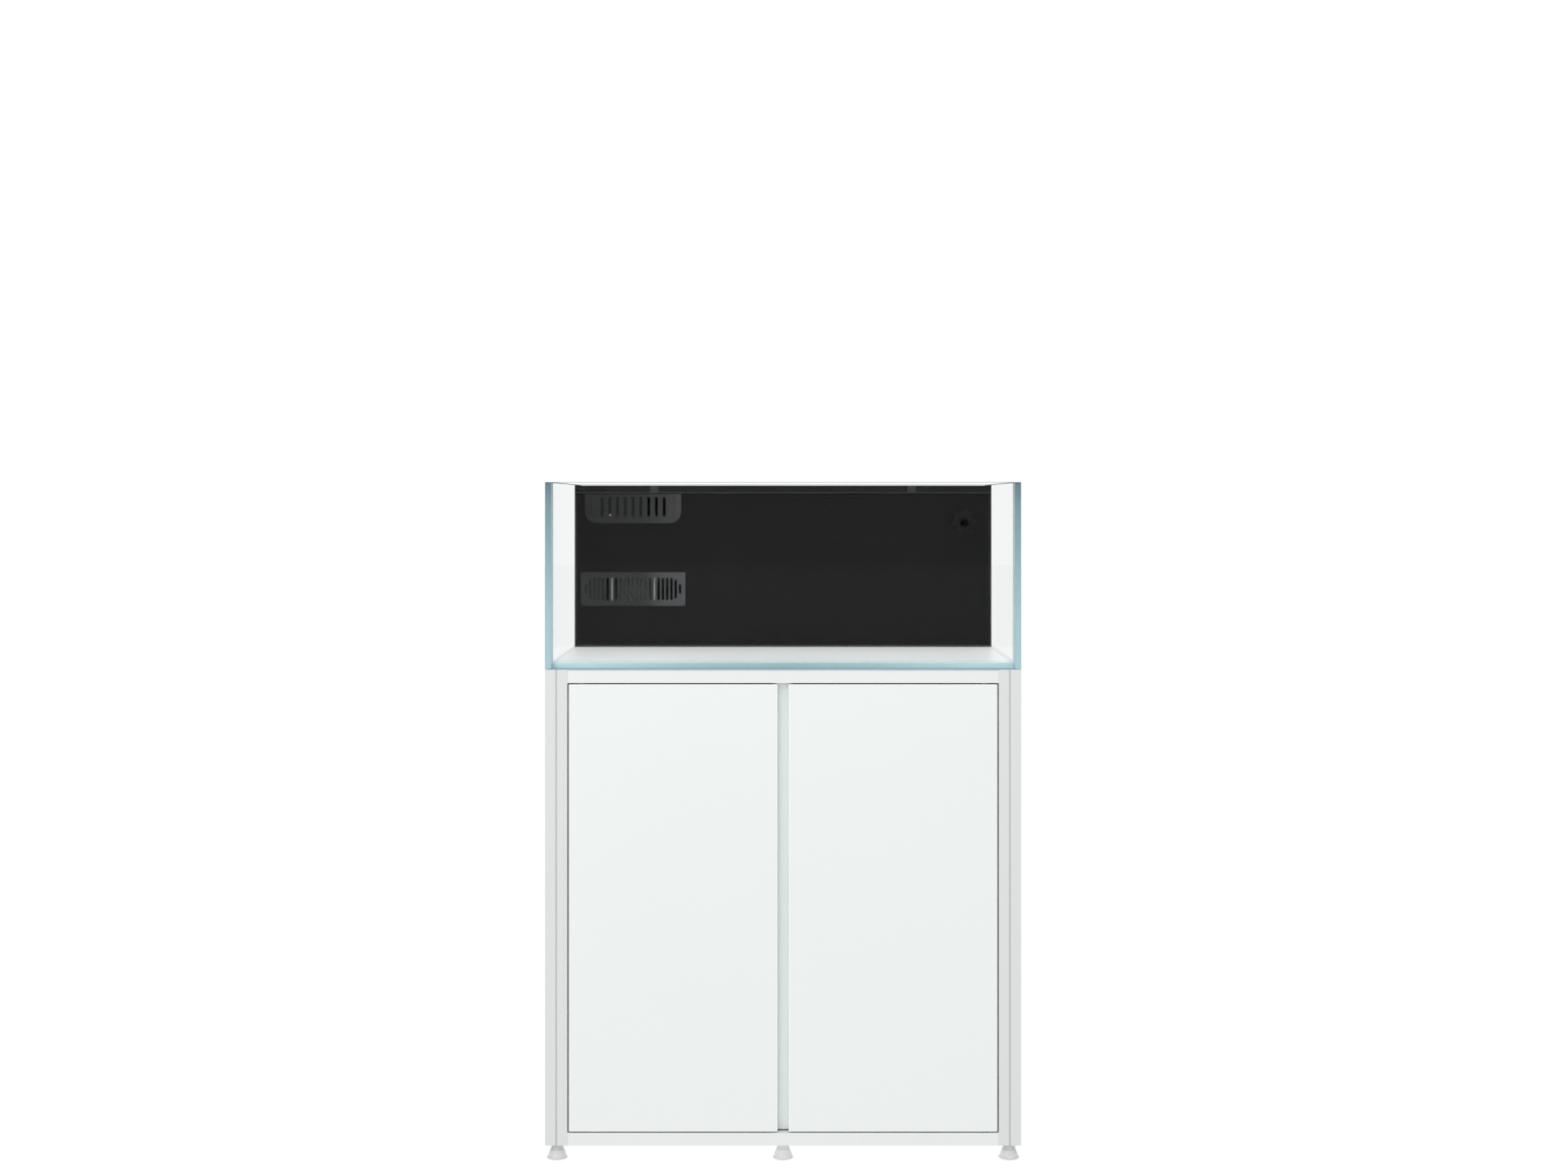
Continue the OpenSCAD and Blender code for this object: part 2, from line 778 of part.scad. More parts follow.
// Open-topped box with a drilled floor
module media_basket() {
    holes_x = 5;
    holes_y = 5;
    step = 14;
    color(DARK) translate([insert_x, basket_y + basket_d / 2, basket_z]) difference() {
        linear_extrude(basket_h) round_rect(basket_w, basket_d, basket_r);
        translate([0, 0, basket_t]) linear_extrude(basket_h)
            round_rect(basket_w - 2 * basket_t, basket_d - 2 * basket_t, basket_r - basket_t);
        for (i = [0:holes_x - 1], j = [0:holes_y - 1])
            translate([(i - (holes_x - 1) / 2) * step, (j - (holes_y - 1) / 2) * step, -CUT])
                cylinder(d = 8, h = basket_t + 2 * CUT);
    }
}

// Two white uprights that the basket slides between, each with a locking peg near its top
module basket_guides() {
    peg_l = 4;
    color(NYLON) for (s = [-1, 1]) translate([insert_x - 0.9 + s * guide_x, 0, 0]) {
        translate([-guide_t / 2, chamber_y + 2, floor_z])
            cube([guide_t, guide_d, guide_top - floor_z]);
        translate([-guide_t / 2 - peg_l, chamber_y + 8, guide_top - 5]) rotate([0, 90, 0])
            cylinder(d = 3, h = peg_l);
    }
}

module filter_sponge() {
    color("#4a4f55") translate([insert_x, basket_y + basket_d / 2, basket_z + basket_t])
        linear_extrude(sponge_h) round_rect(basket_w - 2 * basket_t - 1, basket_d - 2 * basket_t - 1, basket_r - basket_t - 0.5);
}

// ---- Return ----

// Threaded body through the partition, with a flange behind it and a bore for the seat in front
module return_bulkhead() {
    flange_r = 27;
    front = wall_y - nut_t - 1;
    seat_back = wall_y + 3;
    color(DARK) along_y(nozzle_x, 0, nozzle_z) difference() {
        union() {
            translate([0, 0, front]) cylinder(r = thread_r, h = bulkhead_back - front);
            translate([0, 0, chamber_y]) cylinder(r = flange_r, h = 6);
        }
        translate([0, 0, front - CUT]) cylinder(r = seat_r + FREE, h = seat_back + FREE - front + CUT);
        translate([0, 0, front]) cylinder(r = pipe_r, h = bulkhead_back - front + CUT);
    }
}

// Lobed nut that clamps the fitting to the partition
module return_locknut() {
    color(DARK) along_y(nozzle_x, wall_y - nut_t, nozzle_z) difference() {
        union() {
            cylinder(r = nut_hub_r, h = nut_t);
            for (k = [0:nut_lobes - 1]) rotate(lobe_turn + k * 360 / nut_lobes)
                translate([lobe_ring_r, 0, 0]) cylinder(r = lobe_r, h = nut_t - 2);
        }
        translate([0, 0, -CUT]) cylinder(r = thread_r + RUNNING, h = nut_t + 2 * CUT);
    }
}

// Ring that swivels in the fitting and holds the ball
module nozzle_seat() {
    front = ball_y - 8;
    back = wall_y + 3;
    color(DARK) along_y(nozzle_x, 0, nozzle_z) difference() {
        translate([0, 0, front]) cylinder(r = seat_r, h = back - front);
        translate([0, 0, ball_y]) sphere(socket_r);
        translate([0, 0, front - CUT]) cylinder(r = 11.5, h = back - front + 2 * CUT);
    }
}

// Ball with a straight bore, flat at both ends
module nozzle_ball() {
    reach = 10;
    color(BLACK) along_y(nozzle_x, ball_y, nozzle_z) difference() {
        intersection() {
            sphere(ball_r);
            translate([0, 0, -reach]) cylinder(r = ball_r + CUT, h = 2 * reach);
        }
        translate([0, 0, -reach - CUT]) cylinder(d = nozzle_bore_d, h = 2 * (reach + CUT));
    }
}

// Bend from the fitting down to the hose, with a spigot inside the hose
module return_elbow() {
    spigot_r = pipe_r - 0.1;
    bore_r = 7.5;
    color(DARK) translate([nozzle_x, bulkhead_back, nozzle_z - bend_r]) difference() {
        union() {
            rotate([90, 0, 90]) rotate_extrude(angle = 90) translate([bend_r, 0]) circle(hose_r);
            translate([0, bend_r, -19]) cylinder(r = spigot_r, h = 19);
        }
        rotate([90, 0, 90]) rotate_extrude(angle = 90) translate([bend_r, 0]) circle(bore_r);
        translate([0, bend_r, -20]) cylinder(r = bore_r, h = 20);
    }
}

module return_hose() {
    color("#6d7478") translate([nozzle_x, hose_y, hose_bottom])
        ring(hose_r, pipe_r, hose_top - hose_bottom);
}

module hose_clamps() {
    box = [10, 7, clamp_h];
    color(STEEL) for (z = [hose_bottom + 2, hose_top - 2 - clamp_h])
        translate([nozzle_x, hose_y, z]) {
            ring(hose_r + clamp_t, hose_r, clamp_h);
            translate([-box[0] / 2, hose_r + clamp_t - 0.2, 0]) cube(box);
        }
}

// Pump on suction feet: housing, strainer, outlet spigot and a gland for its cable
module return_pump() {
    body = [76, 82];
    body_z = floor_z + 12;
    foot_grid = [28, 30];
    strainer_l = 34;
    outlet_r = pipe_r - 0.1;
    color(BLACK) translate([nozzle_x, hose_y + 8, 0]) {
        translate([0, 0, body_z]) linear_extrude(pump_top - body_z - 14) round_rect(body[0], body[1], 8);
        translate([0, -8, pump_top - 14]) cylinder(r = 20, h = 14);
        translate([0, -8, pump_top]) cylinder(r = outlet_r, h = hose_bottom + 14 - pump_top);
        translate([0, 30, pump_top - 14]) cylinder(r = 6, h = 12);
        translate([-body[0] / 2 - strainer_l, 0, body_z + 30]) rotate([0, 90, 0]) difference() {
            cylinder(r = 24, h = strainer_l);
            for (k = [0:3]) translate([0, 0, 5 + k * 7]) ring(26, 21, 3);
        }
        for (x = [-1, 1], y = [-1, 1]) translate([x * foot_grid[0], y * foot_grid[1], floor_z]) {
            cylinder(r = 8, h = 4);
            cylinder(r = 4, h = 12);
        }
    }
}

front_left_post();
front_right_post();
rear_left_post();
rear_right_post();
front_centre_post();
rear_centre_post();
top_front_rail();
top_rear_rail();
top_left_rail();
top_right_rail();
bottom_front_rail();
bottom_rear_rail();
bottom_left_rail();
bottom_right_rail();
foot_inserts();
corner_brackets();
frame_screws();
centre_beams();
deck_panel();
base_panel();
left_side_panel();
right_side_panel();
back_panel();
cable_grommets();
pivot_bushes();
magnet_catches();
left_door();
left_door_hardware();
right_door();
right_door_hardware();
front_left_foot();
front_centre_foot();
front_right_foot();
rear_left_foot();
rear_centre_foot();
rear_right_foot();
levelling_mat();
bottom_glass();
front_glass();
back_glass();
left_glass();
right_glass();
silicone_seams();
chamber_partition();
chamber_baffles();
chamber_film();
chamber_cover();
overflow_weir();
intake_grille();
media_basket();
basket_guides();
filter_sponge();
return_bulkhead();
return_locknut();
nozzle_seat();
nozzle_ball();
return_elbow();
return_hose();
hose_clamps();
return_pump();
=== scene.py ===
"""Looks of the aquarium on its stand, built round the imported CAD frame. Everything is in metres."""

import json
from math import atan2, ceil, copysign, cos, pi, radians, sin

import bmesh
import bpy
from mathutils import Matrix, Vector


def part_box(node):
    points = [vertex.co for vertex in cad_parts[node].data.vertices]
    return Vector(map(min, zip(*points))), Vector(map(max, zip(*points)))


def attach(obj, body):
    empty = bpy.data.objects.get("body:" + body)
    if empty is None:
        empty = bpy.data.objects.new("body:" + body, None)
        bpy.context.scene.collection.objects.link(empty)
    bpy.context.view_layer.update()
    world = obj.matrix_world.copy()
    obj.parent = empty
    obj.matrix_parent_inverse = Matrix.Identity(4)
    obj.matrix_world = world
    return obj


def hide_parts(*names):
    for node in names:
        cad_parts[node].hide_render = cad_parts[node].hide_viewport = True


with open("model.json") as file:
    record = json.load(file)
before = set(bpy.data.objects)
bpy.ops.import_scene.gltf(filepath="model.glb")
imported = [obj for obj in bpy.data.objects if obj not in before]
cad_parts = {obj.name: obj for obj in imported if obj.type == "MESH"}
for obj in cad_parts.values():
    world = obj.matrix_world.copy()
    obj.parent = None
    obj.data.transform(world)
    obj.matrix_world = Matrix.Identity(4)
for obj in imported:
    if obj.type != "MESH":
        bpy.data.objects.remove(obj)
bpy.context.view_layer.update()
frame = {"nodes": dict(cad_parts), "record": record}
NODES = frame["nodes"]
RECORD = frame["record"]
MM = 0.001
UPRIGHT = Matrix.Rotation(pi / 2, 4, "X")  # a plate drawn flat stands up, its outline in X and Z
UP = Matrix.Rotation(0, 4, "X")
ALONG_Y = Matrix.Rotation(-pi / 2, 4, "X")  # a lathe's axis lies along +Y
ALONG_X = Matrix.Rotation(pi / 2, 4, "Y")
DOWN = Matrix.Rotation(pi, 4, "X")
WHITE_BACKGROUND, WHITE_FLOOR, SKY_LIGHT = 1.05, 0.955, 0.62
BODY_OF = {n: b for b, members in RECORD["behaviour"]["bodies"].items() for n in members}
SLOT_OF = {row["node"]: row["material_slot"] for row in RECORD["subparts"]}


# ---- Materials ----


def tone(red, green, blue):
    """Scene-linear colour of a display colour given from 0 to 255."""
    return tuple(
        v / 12.92 if v <= 0.04045 else ((v + 0.055) / 1.055) ** 2.4
        for v in (red / 255, green / 255, blue / 255)
    )


def shaded(color, share):
    return tuple(min(1.0, c * share) for c in color)


def add(tree, kind, inputs=None, **settings):
    """A new shader node, its inputs linked or set."""
    made = tree.nodes.new(kind)
    for key, value in settings.items():
        setattr(made, key, value)
    for key, value in (inputs or {}).items():
        if isinstance(value, bpy.types.NodeSocket):
            tree.links.new(value, made.inputs[key])
        else:
            made.inputs[key].default_value = value
    return made


def start(name):
    """An empty material, its node tree, its Principled shader and the object coordinates."""
    material = bpy.data.materials.new(name)
    material.use_nodes = True
    tree = material.node_tree
    shader = tree.nodes["Principled BSDF"]
    place = add(tree, "ShaderNodeTexCoord").outputs["Object"]
    return material, tree, shader, place


def stretched(tree, place, scale):
    return add(tree, "ShaderNodeMapping", {"Vector": place, "Scale": scale}).outputs[0]


def noise(tree, place, scale, detail=3.0, rough=0.5):
    inputs = {"Vector": place, "Scale": scale, "Detail": detail, "Roughness": rough}
    return add(tree, "ShaderNodeTexNoise", inputs).outputs["Fac"]


def cells(tree, place, scale, feature="F1"):
    inputs = {"Vector": place, "Scale": scale}
    return add(tree, "ShaderNodeTexVoronoi", inputs, feature=feature).outputs["Distance"]


def ramp(tree, factor, stops):
    """Colours between stops, each a position and a colour."""
    made = add(tree, "ShaderNodeValToRGB", {"Fac": factor})
    elements = made.color_ramp.elements
    elements[0].position, elements[1].position = stops[0][0], stops[-1][0]
    elements[0].color, elements[1].color = (*stops[0][1], 1), (*stops[-1][1], 1)
    for position, color in stops[1:-1]:
        elements.new(position).color = (*color, 1)
    return made.outputs["Color"]


def span(tree, value, low, high, to_low, to_high):
    """Maps a value from one range onto another, held at both ends."""
    inputs = {"Value": value, "From Min": low, "From Max": high, "To Min": to_low, "To Max": to_high}
    return add(tree, "ShaderNodeMapRange", inputs).outputs[0]


def bump(tree, height, depth, strength=1.0, below=None):
    inputs = {"Height": height, "Distance": depth, "Strength": strength}
    if below is not None:
        inputs["Normal"] = below
    return add(tree, "ShaderNodeBump", inputs).outputs["Normal"]


def coated(name, color, rough, grain, depth, spread=0.03, patch=5.0, **constants):
    """A surface whose colour varies softly in patches, with a grain so many cells per metre and so deep."""
    material, tree, shader, place = start(name)
    soft = noise(tree, place, patch, 2.0)
    stops = [(0.3, shaded(color, 1 - spread)), (0.7, shaded(color, 1 + spread))]
    tree.links.new(ramp(tree, soft, stops), shader.inputs["Base Color"])
    fine = noise(tree, place, grain, 2.0)
    tree.links.new(span(tree, fine, 0.3, 0.7, rough * 0.88, rough * 1.12), shader.inputs["Roughness"])
    tree.links.new(bump(tree, fine, depth), shader.inputs["Normal"])
    for key, value in constants.items():
        shader.inputs[key.replace("_", " ")].default_value = value
    return material


def powder_coat(name, color):
    return coated(name, color, 0.42, 900, 0.00006, 0.012, 3.0)


def groove_shaded_coat(name, color, centre):
    """Powder coat with painted shade darkening it along the grooves, at a distance to either side of the
    middle.
    """
    material, tree, shader, place = start(name)
    x = add(tree, "ShaderNodeSeparateXYZ", {"Vector": place}).outputs["X"]
    away = add(tree, "ShaderNodeMath", {0: x}, operation="ABSOLUTE").outputs[0]
    beside = add(tree, "ShaderNodeMath", {0: away, 1: centre}, operation="SUBTRACT").outputs[0]
    near = add(tree, "ShaderNodeMath", {0: beside}, operation="ABSOLUTE").outputs[0]
    fine = noise(tree, place, 900, 2.0)
    # These stops darken the coat within 2.2 mm of each groove: painted shade in the groove.
    stops = [(0.0, shaded(color, 0.72)), (0.45, shaded(color, 0.86)), (1.0, color)]
    reach = span(tree, near, 0.0, 2.2 * MM, 0.0, 1.0)
    tree.links.new(ramp(tree, reach, stops), shader.inputs["Base Color"])
    tree.links.new(span(tree, fine, 0.3, 0.7, 0.37, 0.47), shader.inputs["Roughness"])
    tree.links.new(bump(tree, fine, 0.00006), shader.inputs["Normal"])
    return material


def door_face():
    """Gloss lacquer: a slow waviness under a clear coat."""
    material, tree, shader, place = start("door_lacquer")
    soft = noise(tree, place, 2.0, 1.0)
    color = tone(230, 234, 233)
    stops = [(0.3, shaded(color, 0.993)), (0.7, shaded(color, 1.004))]
    tree.links.new(ramp(tree, soft, stops), shader.inputs["Base Color"])
    wave = noise(tree, place, 55, 2.0)
    tree.links.new(bump(tree, wave, 0.00004), shader.inputs["Normal"])
    tree.links.new(span(tree, wave, 0.3, 0.7, 0.13, 0.19), shader.inputs["Roughness"])
    shader.inputs["Specular IOR Level"].default_value = 0.3
    return material


def brushed_steel(name, color, rough):
    """Metal brushed along Z."""
    material, tree, shader, place = start(name)
    lines = noise(tree, stretched(tree, place, (1, 1, 0.02)), 1500, 3.0)
    stops = [(0.3, shaded(color, 0.9)), (0.7, shaded(color, 1.06))]
    tree.links.new(ramp(tree, lines, stops), shader.inputs["Base Color"])
    tree.links.new(span(tree, lines, 0.3, 0.7, rough * 0.75, rough * 1.3), shader.inputs["Roughness"])
    tree.links.new(bump(tree, lines, 0.00003), shader.inputs["Normal"])
    shader.inputs["Metallic"].default_value = 1.0
    return material


def board():
    """White melamine: a faint pore texture."""
    material, tree, shader, place = start("melamine_board")
    pores = noise(tree, stretched(tree, place, (0.25, 1, 1)), 420, 4.0, 0.6)
    color = tone(228, 230, 228)
    stops = [(0.35, shaded(color, 0.96)), (0.6, color)]
    tree.links.new(ramp(tree, pores, stops), shader.inputs["Base Color"])
    tree.links.new(bump(tree, pores, 0.00008), shader.inputs["Normal"])
    tree.links.new(span(tree, pores, 0.3, 0.7, 0.5, 0.38), shader.inputs["Roughness"])
    return material


def foam(name, color, size, depth):
    """Open cells of a given count per metre."""
    material, tree, shader, place = start(name)
    pits = cells(tree, place, size)
    stops = [(0.05, shaded(color, 0.72)), (0.45, color), (0.8, shaded(color, 1.08))]
    tree.links.new(ramp(tree, pits, stops), shader.inputs["Base Color"])
    tree.links.new(bump(tree, pits, depth), shader.inputs["Normal"])
    tree.links.new(span(tree, pits, 0.0, 1.0, 0.98, 0.8), shader.inputs["Roughness"])
    return material


def clear_glass(name, tint, head_on, grazing):
    """Low-iron glass face: see-through, with a gloss that grows towards grazing angles."""
    material, tree, shader, place = start(name)
    tree.nodes.remove(shader)
    facing = add(tree, "ShaderNodeLayerWeight", {"Blend": 0.5}).outputs["Facing"]
    share = span(tree, facing, 0.0, 1.0, head_on, grazing)
    smear = span(tree, noise(tree, place, 3, 1.0), 0.3, 0.7, 0.0, 0.012)
    through = add(tree, "ShaderNodeBsdfTransparent", {"Color": (*tint, 1)})
    gloss = add(tree, "ShaderNodeBsdfAnisotropic", {"Color": (1, 1, 1, 1), "Roughness": smear})
    mixed = add(tree, "ShaderNodeMixShader", {0: share, 1: through.outputs[0], 2: gloss.outputs[0]})
    tree.links.new(mixed.outputs[0], tree.nodes["Material Output"].inputs["Surface"])
    return material


def glass_edge(name, share=1.0):
    """Polished edge of a pane, teal: painted shade darkens it towards the top rim, and fine streaks come from
    the polishing. share makes darker copies of it, also painted shade.
    """
    material, tree, shader, place = start(name)
    low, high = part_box("left_glass")
    height = add(tree, "ShaderNodeSeparateXYZ", {"Vector": place}).outputs["Z"]
    rise = span(tree, height, low.z, high.z, 0.0, 1.0)
    stops = [
        (0.0, tone(170, 203, 211)),
        (0.25, tone(166, 199, 207)),
        (0.46, tone(152, 188, 195)),
        (0.68, tone(136, 170, 178)),
        (0.87, tone(119, 154, 161)),
        (0.985, tone(103, 130, 139)),
        (1.0, tone(84, 104, 120)),
    ]
    stops = [(p, shaded(c, share)) for p, c in stops]
    base = ramp(tree, rise, stops)
    streaks = noise(tree, stretched(tree, place, (6, 6, 0.5)), 90, 2.0)
    shade = span(tree, streaks, 0.3, 0.7, 0.94, 1.05)
    mixed = add(tree, "ShaderNodeMix", data_type="RGBA", blend_type="MULTIPLY")
    sockets = {s.identifier: s for s in mixed.inputs}
    sockets["Factor_Float"].default_value = 1.0
    tree.links.new(base, sockets["A_Color"])
    tree.links.new(shade, sockets["B_Color"])
    color = next(s for s in mixed.outputs if s.identifier == "Result_Color")
    tree.links.new(color, shader.inputs["Base Color"])
    tree.links.new(bump(tree, streaks, 0.00003), shader.inputs["Normal"])
    shader.inputs["Roughness"].default_value = 0.22
    shader.inputs["Specular IOR Level"].default_value = 0.3
    return material


def floor_edge():
    """Front edge of the bottom pane behind the front one: greyer in the middle than at its ends, painted
    light at the ends beside the side panes and painted shade in the middle.
    """
    material, tree, shader, place = start("floor_pane_edge")
    low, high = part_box("bottom_glass")
    across = add(tree, "ShaderNodeSeparateXYZ", {"Vector": place}).outputs["X"]
    along = span(tree, across, low.x, high.x, 0.0, 1.0)
    end, half, middle = tone(188, 220, 225), tone(166, 199, 205), tone(157, 190, 196)
    stops = [(0.0, end), (0.08, end), (0.3, half), (0.5, middle), (0.7, half), (0.92, end), (1.0, end)]
    tree.links.new(ramp(tree, along, stops), shader.inputs["Base Color"])
    streaks = noise(tree, stretched(tree, place, (0.5, 6, 6)), 90, 2.0)
    tree.links.new(bump(tree, streaks, 0.00003), shader.inputs["Normal"])
    tree.links.new(span(tree, streaks, 0.3, 0.7, 0.2, 0.26), shader.inputs["Roughness"])
    shader.inputs["Specular IOR Level"].default_value = 0.3
    return material


def floor_face():
    """Upper face of the bottom pane: the pale mat shows through it, bluer towards the front pane, and darker
    behind the black wall, painted shade.
    """
    material, tree, shader, place = start("floor_pane_face")
    low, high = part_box("bottom_glass")
    depth = add(tree, "ShaderNodeSeparateXYZ", {"Vector": place}).outputs["Y"]
    back = span(tree, depth, low.y, high.y, 0.0, 1.0)
    # The last stop darkens the face behind the black wall: painted shade in the chamber.
    stops = [
        (0.0, tone(240, 245, 250)),
        (0.12, tone(238, 243, 245)),
        (0.3, tone(239, 242, 242)),
        (0.75, tone(241, 243, 242)),
        (0.82, tone(236, 239, 238)),
    ]
    tree.links.new(ramp(tree, back, stops), shader.inputs["Base Color"])
    soft = noise(tree, place, 3.0, 1.0)
    tree.links.new(span(tree, soft, 0.3, 0.7, 0.3, 0.36), shader.inputs["Roughness"])
    shader.inputs["Specular IOR Level"].default_value = 0.1
    return material


def acrylic(name, level, rough, gloss):
    """Black acrylic sheet with a trace of dust."""
    material, tree, shader, place = start(name)
    soft = noise(tree, place, 4.0, 4.0, 0.6)
    stops = [(0.3, (level * 0.94,) * 3), (0.75, (level * 1.1,) * 3)]
    tree.links.new(ramp(tree, soft, stops), shader.inputs["Base Color"])
    tree.links.new(span(tree, soft, 0.3, 0.7, rough, rough * 1.5), shader.inputs["Roughness"])
    shader.inputs["Specular IOR Level"].default_value = gloss
    return material


def moulding(name, color, rough=0.5, gloss=0.35):
    """Injection-moulded plastic with a fine spark-eroded grain."""
    constants = {"Specular_IOR_Level": gloss}
    return coated(name, color, rough, 1600, 0.00003, 0.06, 22, **constants)


def moulding_with_painted_light(name, node, stops):
    """Smoke-grey moulding with painted light: its tone follows a ramp along X from one end of the node to the
    other.
    """
    material, tree, shader, place = start(name)
    low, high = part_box(node)
    across = add(tree, "ShaderNodeSeparateXYZ", {"Vector": place}).outputs["X"]
    along = span(tree, across, low.x, high.x, 0.0, 1.0)
    tree.links.new(ramp(tree, along, stops), shader.inputs["Base Color"])
    fine = noise(tree, place, 1600, 2.0)
    tree.links.new(span(tree, fine, 0.3, 0.7, 0.44, 0.56), shader.inputs["Roughness"])
    tree.links.new(bump(tree, fine, 0.00003), shader.inputs["Normal"])
    shader.inputs["Specular IOR Level"].default_value = 0.2
    return material


def silicone():
    """Clear silicone: mostly see-through, with a soft gloss."""
    material, tree, shader, place = start("silicone_bead")
    soft = noise(tree, place, 60, 2.0)
    stops = [(0.3, tone(196, 204, 206)), (0.7, tone(214, 220, 221))]
    tree.links.new(ramp(tree, soft, stops), shader.inputs["Base Color"])
    tree.links.new(bump(tree, soft, 0.0003), shader.inputs["Normal"])
    shader.inputs["Roughness"].default_value = 0.2
    through = add(tree, "ShaderNodeBsdfTransparent", {"Color": (0.97, 0.98, 0.98, 1)})
    mixed = add(tree, "ShaderNodeMixShader", {0: 0.06, 1: through.outputs[0], 2: shader.outputs[0]})
    tree.links.new(mixed.outputs[0], tree.nodes["Material Output"].inputs["Surface"])
    return material


GROOVE_X = 428.75 * MM
POST_COAT = groove_shaded_coat("powder_coat", tone(215, 217, 217), GROOVE_X)
RAIL_COAT = powder_coat("powder_coat_rail", tone(227, 229, 228))
CENTRE_COAT = powder_coat("powder_coat_centre", tone(229, 236, 235))
LACQUER = door_face()
# Two door edge colours: a pale one, a painted highlight on the roundings and the inner edge, and a grey one,
# painted shade on the edges in the gaps.
EDGE_HIGHLIGHT = coated("door_edge_painted_highlight", tone(249, 251, 250), 0.3, 700, 0.00002, 0.006, 20)
EDGE_GAP_SHADE = coated("door_edge_painted_shade", tone(186, 190, 189), 0.45, 700, 0.00003, 0.01, 20)
ZINC = brushed_steel("zinc_plated_steel", (0.62, 0.63, 0.65), 0.32)
STAINLESS = brushed_steel("stainless_steel", (0.66, 0.65, 0.63), 0.25)
RUBBER = coated("black_rubber", (0.022, 0.022, 0.023), 0.75, 700, 0.00012, 0.15, 40)
MAGNET = coated("catch_plastic", (0.05, 0.052, 0.055), 0.5, 1500, 0.00003, 0.05, 30)
BOARD = board()
BACK_SHEET = coated("back_sheet", tone(232, 234, 233), 0.38, 500, 0.00005, 0.012, 6)
# White nylon given a faint emission: painted light, a glow on the guides and the rivet behind the slots.
GLOWING_NYLON = coated(
    "nylon_painted_glow", tone(246, 246, 244), 0.45, 900, 0.00004, 0.01, 40,
    Emission_Color=(1, 1, 1, 1), Emission_Strength=0.1,
)
FOOT = coated("foot_plastic", tone(219, 219, 219), 0.4, 500, 0.00001, 0.012, 30)
MAT = foam("grey_foam_mat", tone(189, 192, 203), 1100, 0.0002)
SPONGE = foam("filter_foam", (0.035, 0.04, 0.048), 520, 0.0012)
# EDGE and ARRIS are darkened copies of one edge colour, ARRIS the darker: painted shade on faces that take
# less light.
EDGE = glass_edge("glass_edge", 0.92)
ARRIS = glass_edge("glass_arris", 0.74)
BOND = coated("bond_line", tone(232, 242, 247), 0.35, 200, 0.0001, 0.02, 30)
RIM = coated(
    "glass_rim", tone(158, 190, 196), 0.2, 120, 0.00002, 0.05, 8, Specular_IOR_Level=0.3,
)
CLEAR_FRONT = clear_glass("front_pane_face", (0.996, 0.999, 0.998), 0.003, 0.04)
CLEAR_SIDE = clear_glass("side_pane_face", (0.966, 0.967, 0.966), 0.004, 0.04)
FLOOR_FACE = floor_face()
FLOOR_EDGE = floor_edge()
WALL = acrylic("black_acrylic", 0.0052, 0.18, 0.11)
COVER = acrylic("black_acrylic_cover", 0.0078, 0.25, 0.13)
FILM = acrylic("black_film", 0.006, 0.45, 0.15)
BLACK_MOULDING = moulding("black_moulding", (0.034, 0.035, 0.035))
# Both ramps lighten the moulding towards its right end, the grille's in a step over its right third: painted
# light.
WEIR_PAINTED_LIGHT = moulding_with_painted_light(
    "weir_moulding_painted_light", "overflow_weir",
    [(0.0, (0.0115, 0.0125, 0.012)), (0.55, (0.0155, 0.0165, 0.0165)), (1.0, (0.038, 0.039, 0.039))],
)
GRILLE_PAINTED_LIGHT = moulding_with_painted_light(
    "grille_moulding_painted_light", "intake_grille",
    [
        (0.0, (0.0205, 0.0225, 0.0215)), (0.6, (0.024, 0.025, 0.025)),
        (0.78, (0.060, 0.061, 0.064)), (1.0, (0.066, 0.067, 0.070)),
    ],
)
DARK_PLASTIC = moulding("dark_plastic", (0.028, 0.029, 0.030), 0.45)
NUT_MOULDING = moulding("nut_moulding", (0.0075, 0.008, 0.008), 0.42, 0.1)
# A lighter black for the fronts of the lip and the grip tabs: a painted highlight.
COVER_LIP_HIGHLIGHT = moulding("cover_lip_painted_highlight", (0.029, 0.029, 0.029), 0.42, 0.2)
# Nylon darkened to the grey of the shaded door gap: painted shade.
BUSH_GAP_SHADE = coated("nylon_painted_gap_shade", tone(104, 106, 106), 0.5, 900, 0.00004, 0.03, 40)
BASKET = moulding("basket_plastic", (0.13, 0.133, 0.136), 0.5)
VINYL = coated("hose_vinyl", (0.11, 0.125, 0.13), 0.28, 300, 0.00005, 0.05, 30)
SILICONE = silicone()


# ---- Meshes ----


def boxed(mesh, low, high, edge=0.0, steps=2):
    """A box with rounded edges between two corners."""
    low, high = Vector(low), Vector(high)
    size = high - low
    place = Matrix.Translation((low + high) / 2) @ Matrix.Diagonal((*size, 1))
    made = bmesh.ops.create_cube(mesh, size=1.0, matrix=place)["verts"]
    edges = list({e for v in made for e in v.link_edges})
    if edge:
        bmesh.ops.bevel(
            mesh, geom=edges, offset=edge, offset_type="OFFSET", segments=steps, profile=0.5,
            affect="EDGES", clamp_overlap=True,
        )


def skin(mesh, rings, steps, loop=False):
    """Faces between rings of as many points as steps, or of a single point. A loop closes on itself."""
    pairs = list(zip(rings, rings[1:])) + ([(rings[-1], rings[0])] if loop else [])
    for near, far in pairs:
        for k in range(steps):
            after = k + 1
            corners = [near[k % len(near)], near[after % len(near)], far[after % len(far)], far[k % len(far)]]
            corners = list(dict.fromkeys(corners))
            if len(corners) > 2:
                mesh.faces.new(corners)


